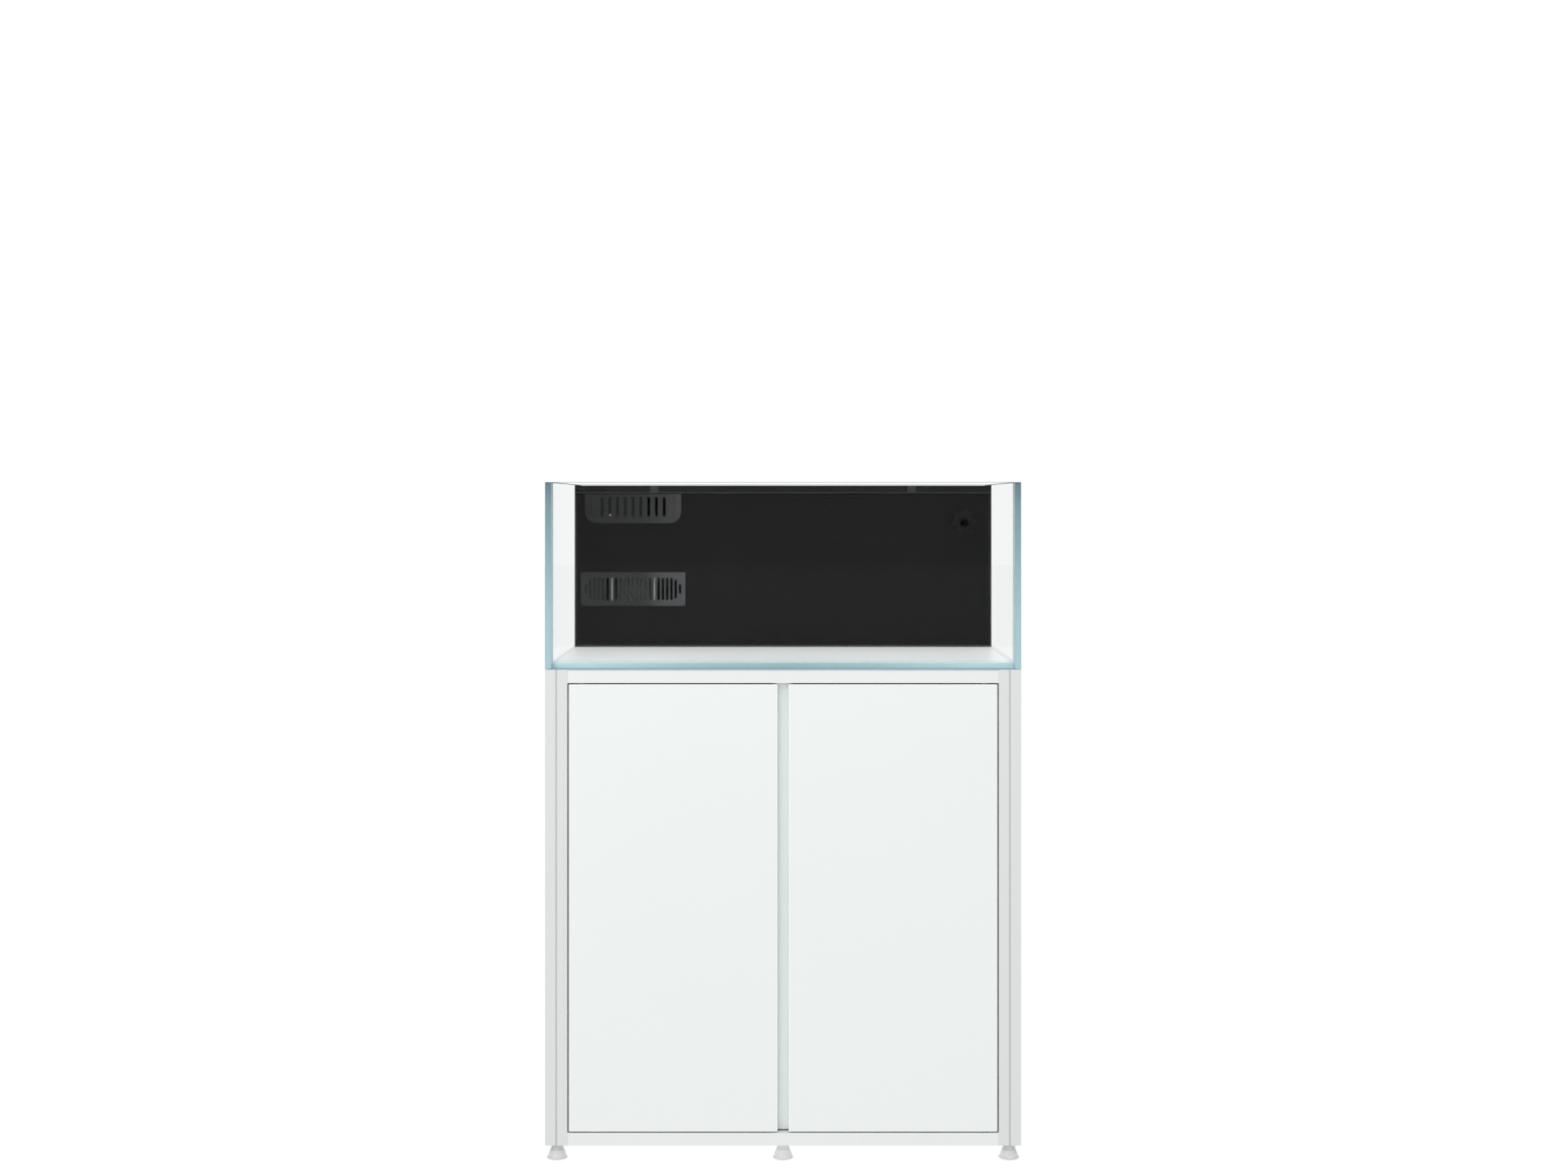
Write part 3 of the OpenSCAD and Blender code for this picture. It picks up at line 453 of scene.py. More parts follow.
def lathe(mesh, profile, centre, turn=UP, steps=48, loop=False):
    """Turns a profile of (radius, height) round an axis through centre. A loop closes on itself."""
    place = Matrix.Translation(centre) @ turn
    rings = []
    for radius, height in profile:
        if radius < 1e-7:
            rings.append([mesh.verts.new(place @ Vector((0, 0, height)))])
            continue
        angles = [2 * pi * k / steps for k in range(steps)]
        points = [Vector((radius * cos(a), radius * sin(a), height)) for a in angles]
        rings.append([mesh.verts.new(place @ point) for point in points])
    skin(mesh, rings, steps, loop)


def rod(mesh, radius, centre, turn, low, high, edge=0.0004, steps=32):
    """A pin with chamfered ends."""
    profile = [(0, low), (radius - edge, low), (radius, low + edge)]
    profile += [(radius, high - edge), (radius - edge, high), (0, high)]
    lathe(mesh, profile, centre, turn, steps)


def pipe(mesh, outer, inner, centre, turn, low, high, edge=0.0004, steps=48):
    """A tube with softened ends."""
    profile = [(inner, low + edge), (inner + edge, low), (outer - edge, low), (outer, low + edge)]
    profile += [(outer, high - edge), (outer - edge, high), (inner + edge, high), (inner, high - edge)]
    lathe(mesh, profile, centre, turn, steps, loop=True)


def arc(x, y, radius, start_deg, end_deg, steps=8):
    turns = [radians(start_deg + (end_deg - start_deg) * k / steps) for k in range(steps + 1)]
    return [(x + radius * cos(a), y + radius * sin(a)) for a in turns]


def rounded(x, y, width, height, low_r, top_r=None):
    """Outline of a rectangle round (x, y), with one rounding at the bottom and one at the top."""
    top_r = low_r if top_r is None else top_r
    w, h = width / 2, height / 2
    points = arc(x - w + low_r, y - h + low_r, low_r, 180, 270)
    points += arc(x + w - low_r, y - h + low_r, low_r, 270, 360)
    points += arc(x + w - top_r, y + h - top_r, top_r, 0, 90)
    return points + arc(x - w + top_r, y + h - top_r, top_r, 90, 180)


def disc(x, y, radius, steps=24):
    return arc(x, y, radius, 0, 360 * (1 - 1 / steps), steps - 1)


def plate(mesh, outlines, thickness, edge, place):
    """A plate with holes and rounded edges. Its outlines lie in its middle plane, the outer one first."""
    curve = bpy.data.curves.new("outline", "CURVE")
    curve.dimensions = "2D"
    curve.fill_mode = "BOTH"
    curve.extrude = thickness / 2 - edge
    curve.bevel_depth = edge
    curve.bevel_resolution = 1
    curve.offset = -edge
    for points in outlines:
        spline = curve.splines.new("POLY")
        spline.points.add(len(points) - 1)
        for point, (x, y) in zip(spline.points, points):
            point.co = (x, y, 0, 1)
        spline.use_cyclic_u = True
    drawn = bpy.data.objects.new("outline", curve)
    flat = bpy.data.meshes.new_from_object(drawn)
    flat.transform(place)
    mesh.from_mesh(flat)
    bpy.data.objects.remove(drawn)
    bpy.data.curves.remove(curve)
    bpy.data.meshes.remove(flat)


def at(x, y, z, turn=UP):
    return Matrix.Translation((x, y, z)) @ turn


def piece(name, mesh, materials, like, replaced=None, angle=35, choose=None, body=None, slot=None):
    """Makes a mesh into a piece with the body of the node it is like.

    choose gives a face's place in the list of materials.
    """
    bmesh.ops.remove_doubles(mesh, verts=mesh.verts, dist=1e-6)
    bmesh.ops.recalc_face_normals(mesh, faces=mesh.faces)
    data = bpy.data.meshes.new(name)
    for material in materials:
        data.materials.append(material)
    if choose:
        for face in mesh.faces:
            face.material_index = choose(face)
    mesh.to_mesh(data)
    mesh.free()
    for polygon in data.polygons:
        polygon.use_smooth = True
    data.set_sharp_from_angle(angle=radians(angle))
    made = bpy.data.objects.new(name, data)
    bpy.context.scene.collection.objects.link(made)
    weighted = made.modifiers.new("Weighted normals", "WEIGHTED_NORMAL")
    weighted.keep_sharp = True
    weighted.weight = 90
    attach(made, body or BODY_OF[like])
    slot or SLOT_OF[like]
    if replaced:
        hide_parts(*replaced)
    return made


# ---- Tank ----


def pane(node, thin, face, low_inset=(0, 0, 0), high_inset=(0, 0, 0), edge=None, arris=None, ends=None):
    """A glass pane with ground arrises. thin is the axis across it; the insets keep its bonded ends clear."""
    low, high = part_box(node)
    low, high = low + Vector(low_inset), high - Vector(high_inset)
    mesh = bmesh.new()
    boxed(mesh, low, high, 0.9 * MM, 1)

    def choose(polygon):
        normal = polygon.normal
        if abs(normal[thin]) > 0.99:
            return 0
        if normal.z > 0.99:
            return 4
        if abs(normal.x) > 0.99:
            return 3
        return 1 if max(abs(c) for c in normal) > 0.99 else 2

    edge = edge or EDGE
    materials = [face, edge, arris or ARRIS, ends or edge, RIM]
    return piece(node + "_pane", mesh, materials, node, [node], choose=choose, angle=20)


def panes():
    bond, rest = 0.6 * MM, 0.25 * MM
    pane("left_glass", 0, CLEAR_SIDE, (0, 0, rest))
    pane("right_glass", 0, CLEAR_SIDE, (0, 0, rest))
    pane("front_glass", 1, CLEAR_FRONT, (bond, 0, rest), (bond, 0, 0), ends=BOND)
    pane("back_glass", 1, CLEAR_SIDE, (bond, 0, rest), (bond, 0, 0), ends=BOND)
    pane("bottom_glass", 2, FLOOR_FACE, (bond, bond, rest), (bond, bond, 0), FLOOR_EDGE, FLOOR_EDGE)


def foam_mat():
    """The levelling mat, notched round the posts, its cut edges slightly rounded."""
    low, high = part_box("levelling_mat")
    notch = 42.8 * MM
    w, d = high.x, high.y
    corners = [(w - notch, -d), (w - notch, -d + notch), (w, -d + notch)]
    corners += [(x, -y) for x, y in reversed(corners)]
    corners += [(-x, y) for x, y in reversed(corners)]
    mesh = bmesh.new()
    plate(mesh, [corners], high.z - low.z, 0.4 * MM, at(0, 0, (low.z + high.z) / 2))
    made = piece("levelling_foam", mesh, [MAT], "levelling_mat", ["levelling_mat"])


# ---- Filter chamber ----


def weir():
    """Bezel with a raised rim and nine slots, six of them closed by a plate on its back."""
    low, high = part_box("overflow_weir")
    x, front = (low.x + high.x) / 2, low.y
    w, h = high.x - low.x, high.z - low.z
    mid = (low.z + high.z) / 2
    slots_z = high.z - 26.8 * MM
    rim, rim_top, recess, thick = 13 * MM, 5.5 * MM, 1.5 * MM, 4 * MM
    pitch, slot_w, slot_h = 16.3 * MM, 6 * MM, 40 * MM
    field_h = h - rim - rim_top
    field = rounded(0, (rim - rim_top) / 2, w - 2 * rim, field_h, 12 * MM, 1.5 * MM)
    outer = rounded(0, 0, w, h, 25 * MM, 1.2 * MM)
    slots = [rounded(k * pitch, slots_z - mid, slot_w, slot_h, 1.4 * MM) for k in range(-4, 5)]
    mesh = bmesh.new()
    rim_y = front + recess / 2 + 0.3 * MM
    plate(mesh, [outer, field], recess + 0.6 * MM, 0.5 * MM, at(x, rim_y, mid, UPRIGHT))
    plate(mesh, [outer] + slots, thick - recess, 0.4 * MM, at(x, front + (thick + recess) / 2, mid, UPRIGHT))
    clips(mesh, x, front + thick, slots_z, 152 * MM, 44 * MM)
    left, half, back = x - 4.5 * pitch, 18.5 * MM, front + thick
    plate_low = (left, back - 0.2 * MM, slots_z - half)
    plate_high = (left + 6 * pitch, back + 1.2 * MM, slots_z + half)
    boxed(mesh, plate_low, plate_high, 0.3 * MM)

    def choose(polygon):
        return 1 if polygon.calc_center_median().y > back - 0.25 * MM else 0

    materials = [WEIR_PAINTED_LIGHT, NUT_MOULDING]
    piece("weir_bezel", mesh, materials, "overflow_weir", ["overflow_weir"], choose=choose)
    # The rivet glows in the emissive nylon: a painted spot of light behind a slot.
    rivet = bmesh.new()
    rod(rivet, 1.1 * MM, (x - 48.6 * MM, back, slots_z - 17 * MM), ALONG_Y, -0.9 * MM, 1.8 * MM, 0.3 * MM, 16)
    piece("plate_rivet", rivet, [GLOWING_NYLON], "overflow_weir", slot="nylon")


def clips(mesh, x, back, z, width, height):
    """Four snap clips behind a bezel."""
    for side in (-1, 1):
        for end in (-1, 1):
            cx = x + side * (width / 2 - 12 * MM)
            cz = z + end * (height / 2 - 1.3 * MM)
            boxed(mesh, (cx - 6 * MM, back - MM, cz - MM), (cx + 6 * MM, back + 9.6 * MM, cz + MM), 0.3 * MM)


def grille():
    """Bezel with a band of slots, shorter at its round ends. A plate closes the first five."""
    low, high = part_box("intake_grille")
    x, mid = (low.x + high.x) / 2, (low.z + high.z) / 2
    w, h, thick = high.x - low.x, high.z - low.z, 4 * MM
    reach, straight, pitch = 23.35 * MM, 77.2 * MM, 8.95 * MM
    slots = []
    for k in range(-11, 12):
        sx = k * pitch
        over = max(0.0, abs(sx) - straight)
        tall = 2 * (reach**2 - over**2) ** 0.5
        slots.append(rounded(sx, 0, 5.2 * MM, tall, 1.6 * MM))
    mesh = bmesh.new()
    outer = rounded(0, 0, w, h, 5.5 * MM, 1.6 * MM)
    plate(mesh, [outer] + slots, thick, 0.3 * MM, at(x, low.y + thick / 2, mid, UPRIGHT))
    clips(mesh, x, low.y + thick, mid, 206 * MM, 52 * MM)
    left, back = x - 102.3 * MM, low.y + thick
    half = 22 * MM
    boxed(mesh, (left, back - 0.2 * MM, mid - half), (left + 2 * half, back + 1.2 * MM, mid + half), 0.3 * MM)
    piece("grille_bezel", mesh, [GRILLE_PAINTED_LIGHT], "intake_grille", ["intake_grille"])


def cover():
    """Lift-off cover: top sheet with a cable notch, a front skirt with a lip, and two ribbed grip tabs."""
    low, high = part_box("chamber_cover")
    sheet, skirt = 2.7 * MM, 16 * MM
    front = low.y + 1.5 * MM
    mid = (front + high.y) / 2
    w, d = high.x, (high.y - front) / 2
    notch_x, notch_w, notch_d, r = 0.38, 13 * MM, 16 * MM, 3 * MM
    outline = [(-w, -d), (w, -d), (w, d), (notch_x + notch_w, d)]
    outline += arc(notch_x + notch_w - r, d - notch_d + r, r, 0, -90, 5)
    outline += arc(notch_x - notch_w + r, d - notch_d + r, r, -90, -180, 5)
    outline += [(notch_x - notch_w, d), (-w, d)]
    mesh = bmesh.new()
    plate(mesh, [outline], sheet, 0.5 * MM, at(0, mid, high.z - sheet / 2))
    foot = high.z - skirt
    boxed(mesh, (-w, front, foot), (w, front + 3 * MM, high.z - 0.3 * MM), 0.5 * MM)
    boxed(mesh, (-w, low.y, foot), (w, front + MM, foot + 2 * MM), 0.4 * MM)
    tab_x, half, rib_half = 0.27, 16.7 / 2 * MM, 30 * MM
    for x in (-tab_x, tab_x):
        boxed(mesh, (x - half, front - 1.2 * MM, foot), (x + half, front + MM, high.z), 0.5 * MM)
        for k in range(3):
            y = mid - d + (8 + 4 * k) * MM
            rib_low = (x - rib_half, y, high.z - MM)
            rib_high = (x + rib_half, y + 1.6 * MM, high.z + 0.1 * MM)
            boxed(mesh, rib_low, rib_high, 0.3 * MM)

    # Faces in front of the skirt, the fronts of the lip and the grip tabs, take the lighter black: painted
    # highlight.
    def choose(polygon):
        middle = polygon.calc_center_median()
        return 1 if middle.y < front - 0.1 * MM else 0

    piece("chamber_lid", mesh, [COVER, COVER_LIP_HIGHLIGHT], "chamber_cover", ["chamber_cover"], choose=choose)


def lobed_nut():
    """Locking nut with six rounded lobes and a hollow between each two."""
    low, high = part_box("return_locknut")
    centre_low, centre_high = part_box("nozzle_ball")
    x, z = (centre_low.x + centre_high.x) / 2, (centre_low.z + centre_high.z) / 2
    steps = 144
    outline = []
    for k in range(steps):
        a = 2 * pi * k / steps
        lobe = (0.5 + 0.5 * cos(6 * (a - radians(9)))) ** 1.6
        r = (22.4 + 6 * lobe) * MM
        outline.append((r * cos(a), r * sin(a)))
    thick = high.y - low.y
    mesh = bmesh.new()
    bore = disc(0, 0, 18.1 * MM, 48)
    plate(mesh, [outline, bore], thick, 1.4 * MM, at(x, (low.y + high.y) / 2, z, UPRIGHT))
    pipe(mesh, 21 * MM, 18.15 * MM, (x, low.y, z), ALONG_Y, -0.6 * MM, 3 * MM, 0.5 * MM)
    piece("lobed_nut", mesh, [NUT_MOULDING], "return_locknut", ["return_locknut"])


def ball_nozzle():
    """Swivel ball, flat at both ends, with a softened bore."""
    low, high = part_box("nozzle_ball")
    x, y, z = (low + high) / 2
    r, reach, bore = 13.15 * MM, (high.y - low.y) / 2 - 0.2 * MM, 8.5 * MM
    profile = [(bore, -reach + 0.4 * MM)]
    low_angle = atan2(-reach, (r**2 - reach**2) ** 0.5)
    for k in range(13):
        a = low_angle * (1 - k / 6)
        profile.append((r * cos(a), r * sin(a)))
    profile.append((bore, reach - 0.4 * MM))
    mesh = bmesh.new()
    lathe(mesh, profile, (x, y, z), ALONG_Y, 64, loop=True)
    piece("swivel_ball", mesh, [NUT_MOULDING], "nozzle_ball", ["nozzle_ball"], angle=30)


# ---- Stand ----


def leaf(node):
    """Door leaf: lacquered face, a painted highlight on its roundings and inner edge, and painted shade on
    its other edges, which face the gaps.
    """
    low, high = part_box(node)
    side = 1 if low.x > 0 else -1
    inner_x = low.x if side > 0 else high.x
    mesh = bmesh.new()
    boxed(mesh, low, high, 1.2 * MM, 3)

    # Index 1, the grey, is painted shade on the outer, top and bottom edges; index 2, the pale, is a painted
    # highlight on the roundings and the inner edge.
    def choose(polygon):
        normal = polygon.normal
        if abs(normal.y) > 0.99:
            return 0
        outer = polygon.calc_center_median().x * side > inner_x * side + 0.01
        if max(abs(normal.x), abs(normal.z)) > 0.99 and outer:
            return 1
        return 2

    piece(node + "_leaf", mesh, [LACQUER, EDGE_GAP_SHADE, EDGE_HIGHLIGHT], node, [node], choose=choose)


FOOT_PROFILE = [
    (0, 0.5), (18.4, 0.5), (19.1, 0.7), (19.5, 1.1), (19.5, 1.6), (19.2, 2.1), (18.4, 2.7), (17.5, 3.2),
    (17.0, 4.0), (16.9, 5.2), (16.5, 7.2), (15.9, 9.0), (15.1, 11.0), (14.2, 13.0), (13.4, 14.8),
    (12.8, 16.2), (12.3, 16.9), (11.6, 17.3), (10.7, 17.6), (10.5, 18.1), (10.7, 18.6), (11.5, 18.9),
    (11.9, 19.3), (11.8, 19.9), (11.2, 21.5), (10.8, 24.0), (10.6, 26.6), (10.2, 27.6), (5.2, 27.7),
]  # radius and height in millimetres


def foot(node):
    """Levelling foot: bell, threaded stud and rubber pad."""
    low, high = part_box(node)
    x, y = (low.x + high.x) / 2, (low.y + high.y) / 2
    bell = bmesh.new()
    lathe(bell, [(r * MM, h * MM) for r, h in FOOT_PROFILE] + [(0, 27.7 * MM)], (x, y, 0), UP, 64)
    piece(node + "_bell", bell, [FOOT], node, [node], angle=50)
    stud = bmesh.new()
    start_z, top, half_pitch = 27 * MM, high.z, 0.75 * MM
    crest, root = 4.95 * MM, 4.45 * MM
    profile = [(0, start_z)]
    for k in range(ceil((top - start_z) / half_pitch)):
        profile.append((crest if k % 2 else root, start_z + k * half_pitch))
    lathe(stud, profile + [(4 * MM, top), (0, top)], (x, y, 0), UP, 32)
    piece(node + "_stud", stud, [ZINC], node, slot="zinc_steel", angle=50)
    pad = bmesh.new()
    rubber = [(0, 0), (18 * MM, 0), (18.6 * MM, 0.2 * MM), (18.6 * MM, 0.7 * MM), (0, 0.7 * MM)]
    lathe(pad, rubber, (x, y, 0), UP, 48)
    piece(node + "_pad", pad, [RUBBER], node, slot="dark_rubber")


def pivot_bushes():
    """Flanged bushes that the door pins turn in."""
    low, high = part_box("pivot_bushes")
    x, y, depth = high.x - 7 * MM, (low.y + high.y) / 2, 12 * MM
    section = [(3.2, 0.3), (3.5, 0), (6.6, 0), (7, 0.4), (7, 1.7), (6.7, 2), (5, 2)]
    section += [(5, 11.5), (4.5, 12), (3.5, 12), (3.2, 11.7)]
    profile = [(r * MM, h * MM) for r, h in section]
    mesh = bmesh.new()
    for side in (-1, 1):
        lathe(mesh, profile, (side * x, y, high.z - depth), UP, 40, loop=True)
        lathe(mesh, profile, (side * x, y, low.z + depth), DOWN, 40, loop=True)
    piece("hinge_bushes", mesh, [BUSH_GAP_SHADE], "pivot_bushes", ["pivot_bushes"])


CATCH_HEIGHTS = (152 * MM, 752 * MM)
CATCH_WIDTH, CATCH_HEIGHT = 5.5 * MM, 50 * MM


def catches():
    """Magnet catches: a plastic body with two steel pole strips."""
    low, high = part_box("magnet_catches")
    wide, tall = CATCH_WIDTH, CATCH_HEIGHT
    body, poles = bmesh.new(), bmesh.new()
    for left in (low.x, high.x - wide):
        for z in CATCH_HEIGHTS:
            boxed(body, (left, low.y + 0.1 * MM, z), (left + wide, high.y, z + tall), 0.4 * MM)
            for inset in (0.9 * MM, wide - 2.1 * MM):
                corner = Vector((left + inset, low.y, z + 3 * MM))
                boxed(poles, corner, corner + Vector((1.2 * MM, 2 * MM, tall - 6 * MM)), 0.15 * MM)
    piece("catch_bodies", body, [MAGNET], "magnet_catches", ["magnet_catches"])
    piece("catch_poles", poles, [ZINC], "magnet_catches", slot="zinc_steel")


STRIKE_SCREW = [(r * MM, h * MM) for r, h in ((0, -0.3), (1.9, -0.3), (1.9, 0.34), (1.5, 0.5), (0, 0.5))]


def hinge_hardware(node):
    """Chamfered pins at a door's outer corners, and strike plates with a screw at each end."""
    low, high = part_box(node)
    side = 1 if high.x > 0.1 else -1
    pin_r, pin_length, back = 3 * MM, 28 * MM, high.y
    pin = (side * (max(abs(low.x), abs(high.x)) - pin_r), -292 * MM, 0)
    near = side * min(abs(low.x), abs(high.x))
    wide, tall = CATCH_WIDTH, CATCH_HEIGHT
    mesh = bmesh.new()
    rod(mesh, pin_r, pin, UP, high.z - pin_length, high.z, 0.7 * MM)
    rod(mesh, pin_r, pin, UP, low.z, low.z + pin_length, 0.7 * MM)
    left, right = sorted((near, near + side * wide))
    for z in CATCH_HEIGHTS:
        boxed(mesh, (left, back - 1.1 * MM, z), (right, back + 0.3 * MM, z + tall), 0.25 * MM)
        for h in (7 * MM, tall - 7 * MM):
            lathe(mesh, STRIKE_SCREW, ((left + right) / 2, back, z + h), ALONG_Y, 24)
    piece(node + "_set", mesh, [ZINC], node, [node])


def screw(mesh, place):
    """Button head with a hexagon socket, its seat at the place's origin and its head along +Z."""
    head, low = 1.8 * MM, place @ Matrix.Translation((0, 0, 0.9 * MM))
    plate(mesh, [disc(0, 0, 4 * MM, 28), arc(0, 0, 1.5 * MM, 0, 300, 5)], head, 0.6 * MM, low)
    turn = place.to_3x3().to_4x4()
    rod(mesh, 2 * MM, place.translation, turn, -2 * MM, 0.5 * MM, 0.1 * MM, 20)


POST_CORNER = (407.5, 257.5)  # a post's inner corner, in millimetres
SCREW_PLACES = ((10, -8), (50, -8), (-8, 10), (-8, 50))  # from that corner, in millimetres
BRACKET_FACES = ((900 * MM, DOWN), (54 * MM, UP))  # height of a screw's seat and where its head points


def frame_screws():
    """Button-head screws of the corner brackets and of the back panel."""
    mesh = bmesh.new()
    for sx in (-1, 1):
        for sy in (-1, 1):
            for along, aside in SCREW_PLACES:
                x, y = sx * (POST_CORNER[0] - along) * MM, sy * (POST_CORNER[1] - aside) * MM
                for height, facing in BRACKET_FACES:
                    screw(mesh, at(x, y, height, facing))
    for z in (112 * MM, 477 * MM, 842 * MM):
        screw(mesh, at(0, 285 * MM, z, ALONG_Y))
    piece("button_head_screws", mesh, [ZINC], "frame_screws", ["frame_screws"])


CABLE_PORTS = ((-0.3, 802 * MM), (0.3, 802 * MM))  # X and Z of their centres


def grommets():
    """Rubber rings with a rounded lip on each side of the back panel."""
    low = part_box("cable_grommets")[0]
    section = [(25, 0.9), (25.4, 0.2), (26, 0), (33.2, 0), (33.8, 0.3)]
    section += [(34, 0.9), (33.9, 1.5), (33.2, 2), (30, 2)]
    section += [(r, 7 - h) for r, h in reversed(section)]
    profile = [(r * MM, h * MM) for r, h in section]
    mesh = bmesh.new()
    for x, z in CABLE_PORTS:
        lathe(mesh, profile, (x, low.y, z), ALONG_Y, 72, loop=True)
    piece("grommet_rings", mesh, [RUBBER], "cable_grommets", ["cable_grommets"])


# ---- Equipment in the chamber ----

PUMP_X, PUMP_Y, HOSE_Y = 380 * MM, 222 * MM, 214 * MM

SPONGE_ROWS = [
    (0.25, 0), (0.6, 0), (0.93, 0), (0.985, 0.03), (1, 0.1), (0.992, 0.3), (0.988, 0.5), (0.992, 0.7),
    (1, 0.86), (0.985, 0.925), (0.93, 0.955), (0.75, 0.975), (0.5, 0.992), (0.25, 1),
]  # share of the half width, share of the height


def sponge():
    """Foam block: soft edges, a crowned top, and sides pulled in between the corners."""
    low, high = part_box("filter_sponge")
    middle, half = (low + high) / 2, (high - low) / 2 - Vector((0.3 * MM, 0.3 * MM, 0))
    steps, squareness = 80, 2 / 4.2
    mesh = bmesh.new()
    rings = []
    for share, rise in SPONGE_ROWS:
        ring = []
        for k in range(steps):
            a = 2 * pi * k / steps
            reach = share * (1 - 0.014 * cos(2 * a) ** 2)
            x = copysign(abs(cos(a)) ** squareness, cos(a)) * half.x * reach
            y = copysign(abs(sin(a)) ** squareness, sin(a)) * half.y * reach
            z = low.z + 0.05 * MM + rise * (high.z - low.z - 0.1 * MM)
            ring.append(mesh.verts.new((middle.x + x, middle.y + y, z)))
        rings.append(ring)
    skin(mesh, rings, steps)
    mesh.faces.new(rings[0])
    mesh.faces.new(rings[-1])
    made = piece("sponge_block", mesh, [SPONGE], "filter_sponge", ["filter_sponge"], angle=60)


def basket():
    """Media basket: drilled floor, walls with a rolled rim and outer ribs."""
    low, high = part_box("media_basket")
    middle, size = (low + high) / 2, high - low
    wall, rim, corner = 3 * MM, 5 * MM, 22 * MM
    mesh = bmesh.new()
    shell = [rounded(0, 0, size.x - w, size.y - w, corner - w / 2) for w in (0.8 * MM, 2 * wall)]
    plate(mesh, shell, size.z - 2 * wall, 0.4 * MM, at(middle.x, middle.y, middle.z + wall / 2))
    holes = [disc(14 * MM * i, 14 * MM * j, 4 * MM, 20) for i in range(-2, 3) for j in range(-2, 3)]
    outer = rounded(0, 0, size.x, size.y, corner)
    plate(mesh, [outer] + holes, wall, 0.4 * MM, at(middle.x, middle.y, low.z + wall / 2))
    inner = rounded(0, 0, size.x - 2 * wall, size.y - 2 * wall, corner - wall)
    for z in (high.z - rim / 2, low.z + 0.33 * size.z, low.z + 0.66 * size.z):
        plate(mesh, [outer, inner], rim, 0.9 * MM, at(middle.x, middle.y, z))
    piece("basket_body", mesh, [BASKET], "media_basket", ["media_basket"])


def cup(radius, height):
    """Profile of a suction foot: a flared skirt below a short stem."""
    return [(0, 0), (radius, 0), (radius, 0.06 * height), (0.75 * radius, 0.25 * height),
            (0.5 * radius, 0.36 * height), (0.5 * radius, height), (0, height)]


def pump():
    """Return pump: ribbed housing, slotted strainer, volute, hollow outlet, cable gland and suction feet."""
    x, y, base, top = PUMP_X, PUMP_Y, 952 * MM, 1036 * MM
    mesh = bmesh.new()
    plate(mesh, [rounded(0, 0, 74.8 * MM, 80.8 * MM, 7.5 * MM)], 70 * MM, 3 * MM, at(x, y, base + 35 * MM))
    for k in range(5):
        rib = rounded(0, 0, 76 * MM, 82 * MM, 8 * MM)
        plate(mesh, [rib], 2.4 * MM, 0.6 * MM, at(x, y, base + (9 + 13 * k) * MM))
    for k in range(4):
        z, half = base + (15.5 + 13 * k) * MM, 32 * MM
        boxed(mesh, (x - half, y + 40 * MM, z - MM), (x + half, y + 40.8 * MM, z + MM), 0.2 * MM)
    spout = (x, HOSE_Y, 0)
    volute = [(0, base + 68 * MM), (20 * MM, base + 68 * MM), (20 * MM, top - 2.5 * MM)]
    volute += [(19.2 * MM, top - 0.8 * MM), (17.5 * MM, top), (0, top)]
    lathe(mesh, volute, spout, UP, 56)
    pipe(mesh, 9.9 * MM, 7.5 * MM, spout, UP, top - MM, 1066 * MM, 0.6 * MM, 40)
    gland = (x, y + 30 * MM, 0)
    rod(mesh, 6 * MM, gland, UP, base + 69 * MM, base + 76 * MM, 0.8 * MM, 6)
    rod(mesh, 4.6 * MM, gland, UP, base + 75 * MM, base + 82 * MM, 1.4 * MM, 24)
    grid = [(0, 0), (22.5, 0), (24, 1.5)]
    for k in range(4):
        edge = 5 + 7 * k
        grid += [(24, edge), (21, edge), (21, edge + 3), (24, edge + 3)]
    profile = [(r * MM, h * MM) for r, h in grid + [(24, 33), (24, 36), (0, 36)]]
    lathe(mesh, profile, (x - 72 * MM, y, base + 30 * MM), ALONG_X, 56)
    for dx in (-28 * MM, 28 * MM):
        for dy in (-30 * MM, 30 * MM):
            lathe(mesh, cup(8 * MM, 13 * MM), (x + dx, y + dy, 940 * MM), UP, 28)
    piece("pump_body", mesh, [BLACK_MOULDING], "return_pump", ["return_pump"])


def elbow():
    """Hollow bend from the fitting down into the hose, with a collar at its upper end."""
    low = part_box("return_elbow")[0]
    bend, back, axis_z, steps = 22 * MM, 192 * MM, 1201 * MM, 32
    mesh = bmesh.new()
    rings = []
    turns = [pi / 2 * k / 14 for k in range(15)]
    for radius, angles in ((13 * MM, turns), (7.5 * MM, turns[::-1])):
        for a in angles:
            centre = Vector((PUMP_X, back + bend * sin(a), axis_z - bend * (1 - cos(a))))
            out = Vector((0, sin(a), cos(a)))
            around = (2 * pi * j / steps for j in range(steps))
            points = [centre + radius * (cos(t) * Vector((1, 0, 0)) + sin(t) * out) for t in around]
            rings.append([mesh.verts.new(point) for point in points])
    skin(mesh, rings, steps, loop=True)
    outlet = axis_z - bend
    pipe(mesh, 9.9 * MM, 7.6 * MM, (PUMP_X, HOSE_Y, 0), UP, low.z, outlet + 0.5 * MM, 0.5 * MM, 40)
    pipe(mesh, 13 * MM, 9.95 * MM, (PUMP_X, HOSE_Y, 0), UP, outlet - 2 * MM, outlet + 0.2 * MM, 0.5 * MM)
    piece("elbow_bend", mesh, [DARK_PLASTIC], "return_elbow", ["return_elbow"])


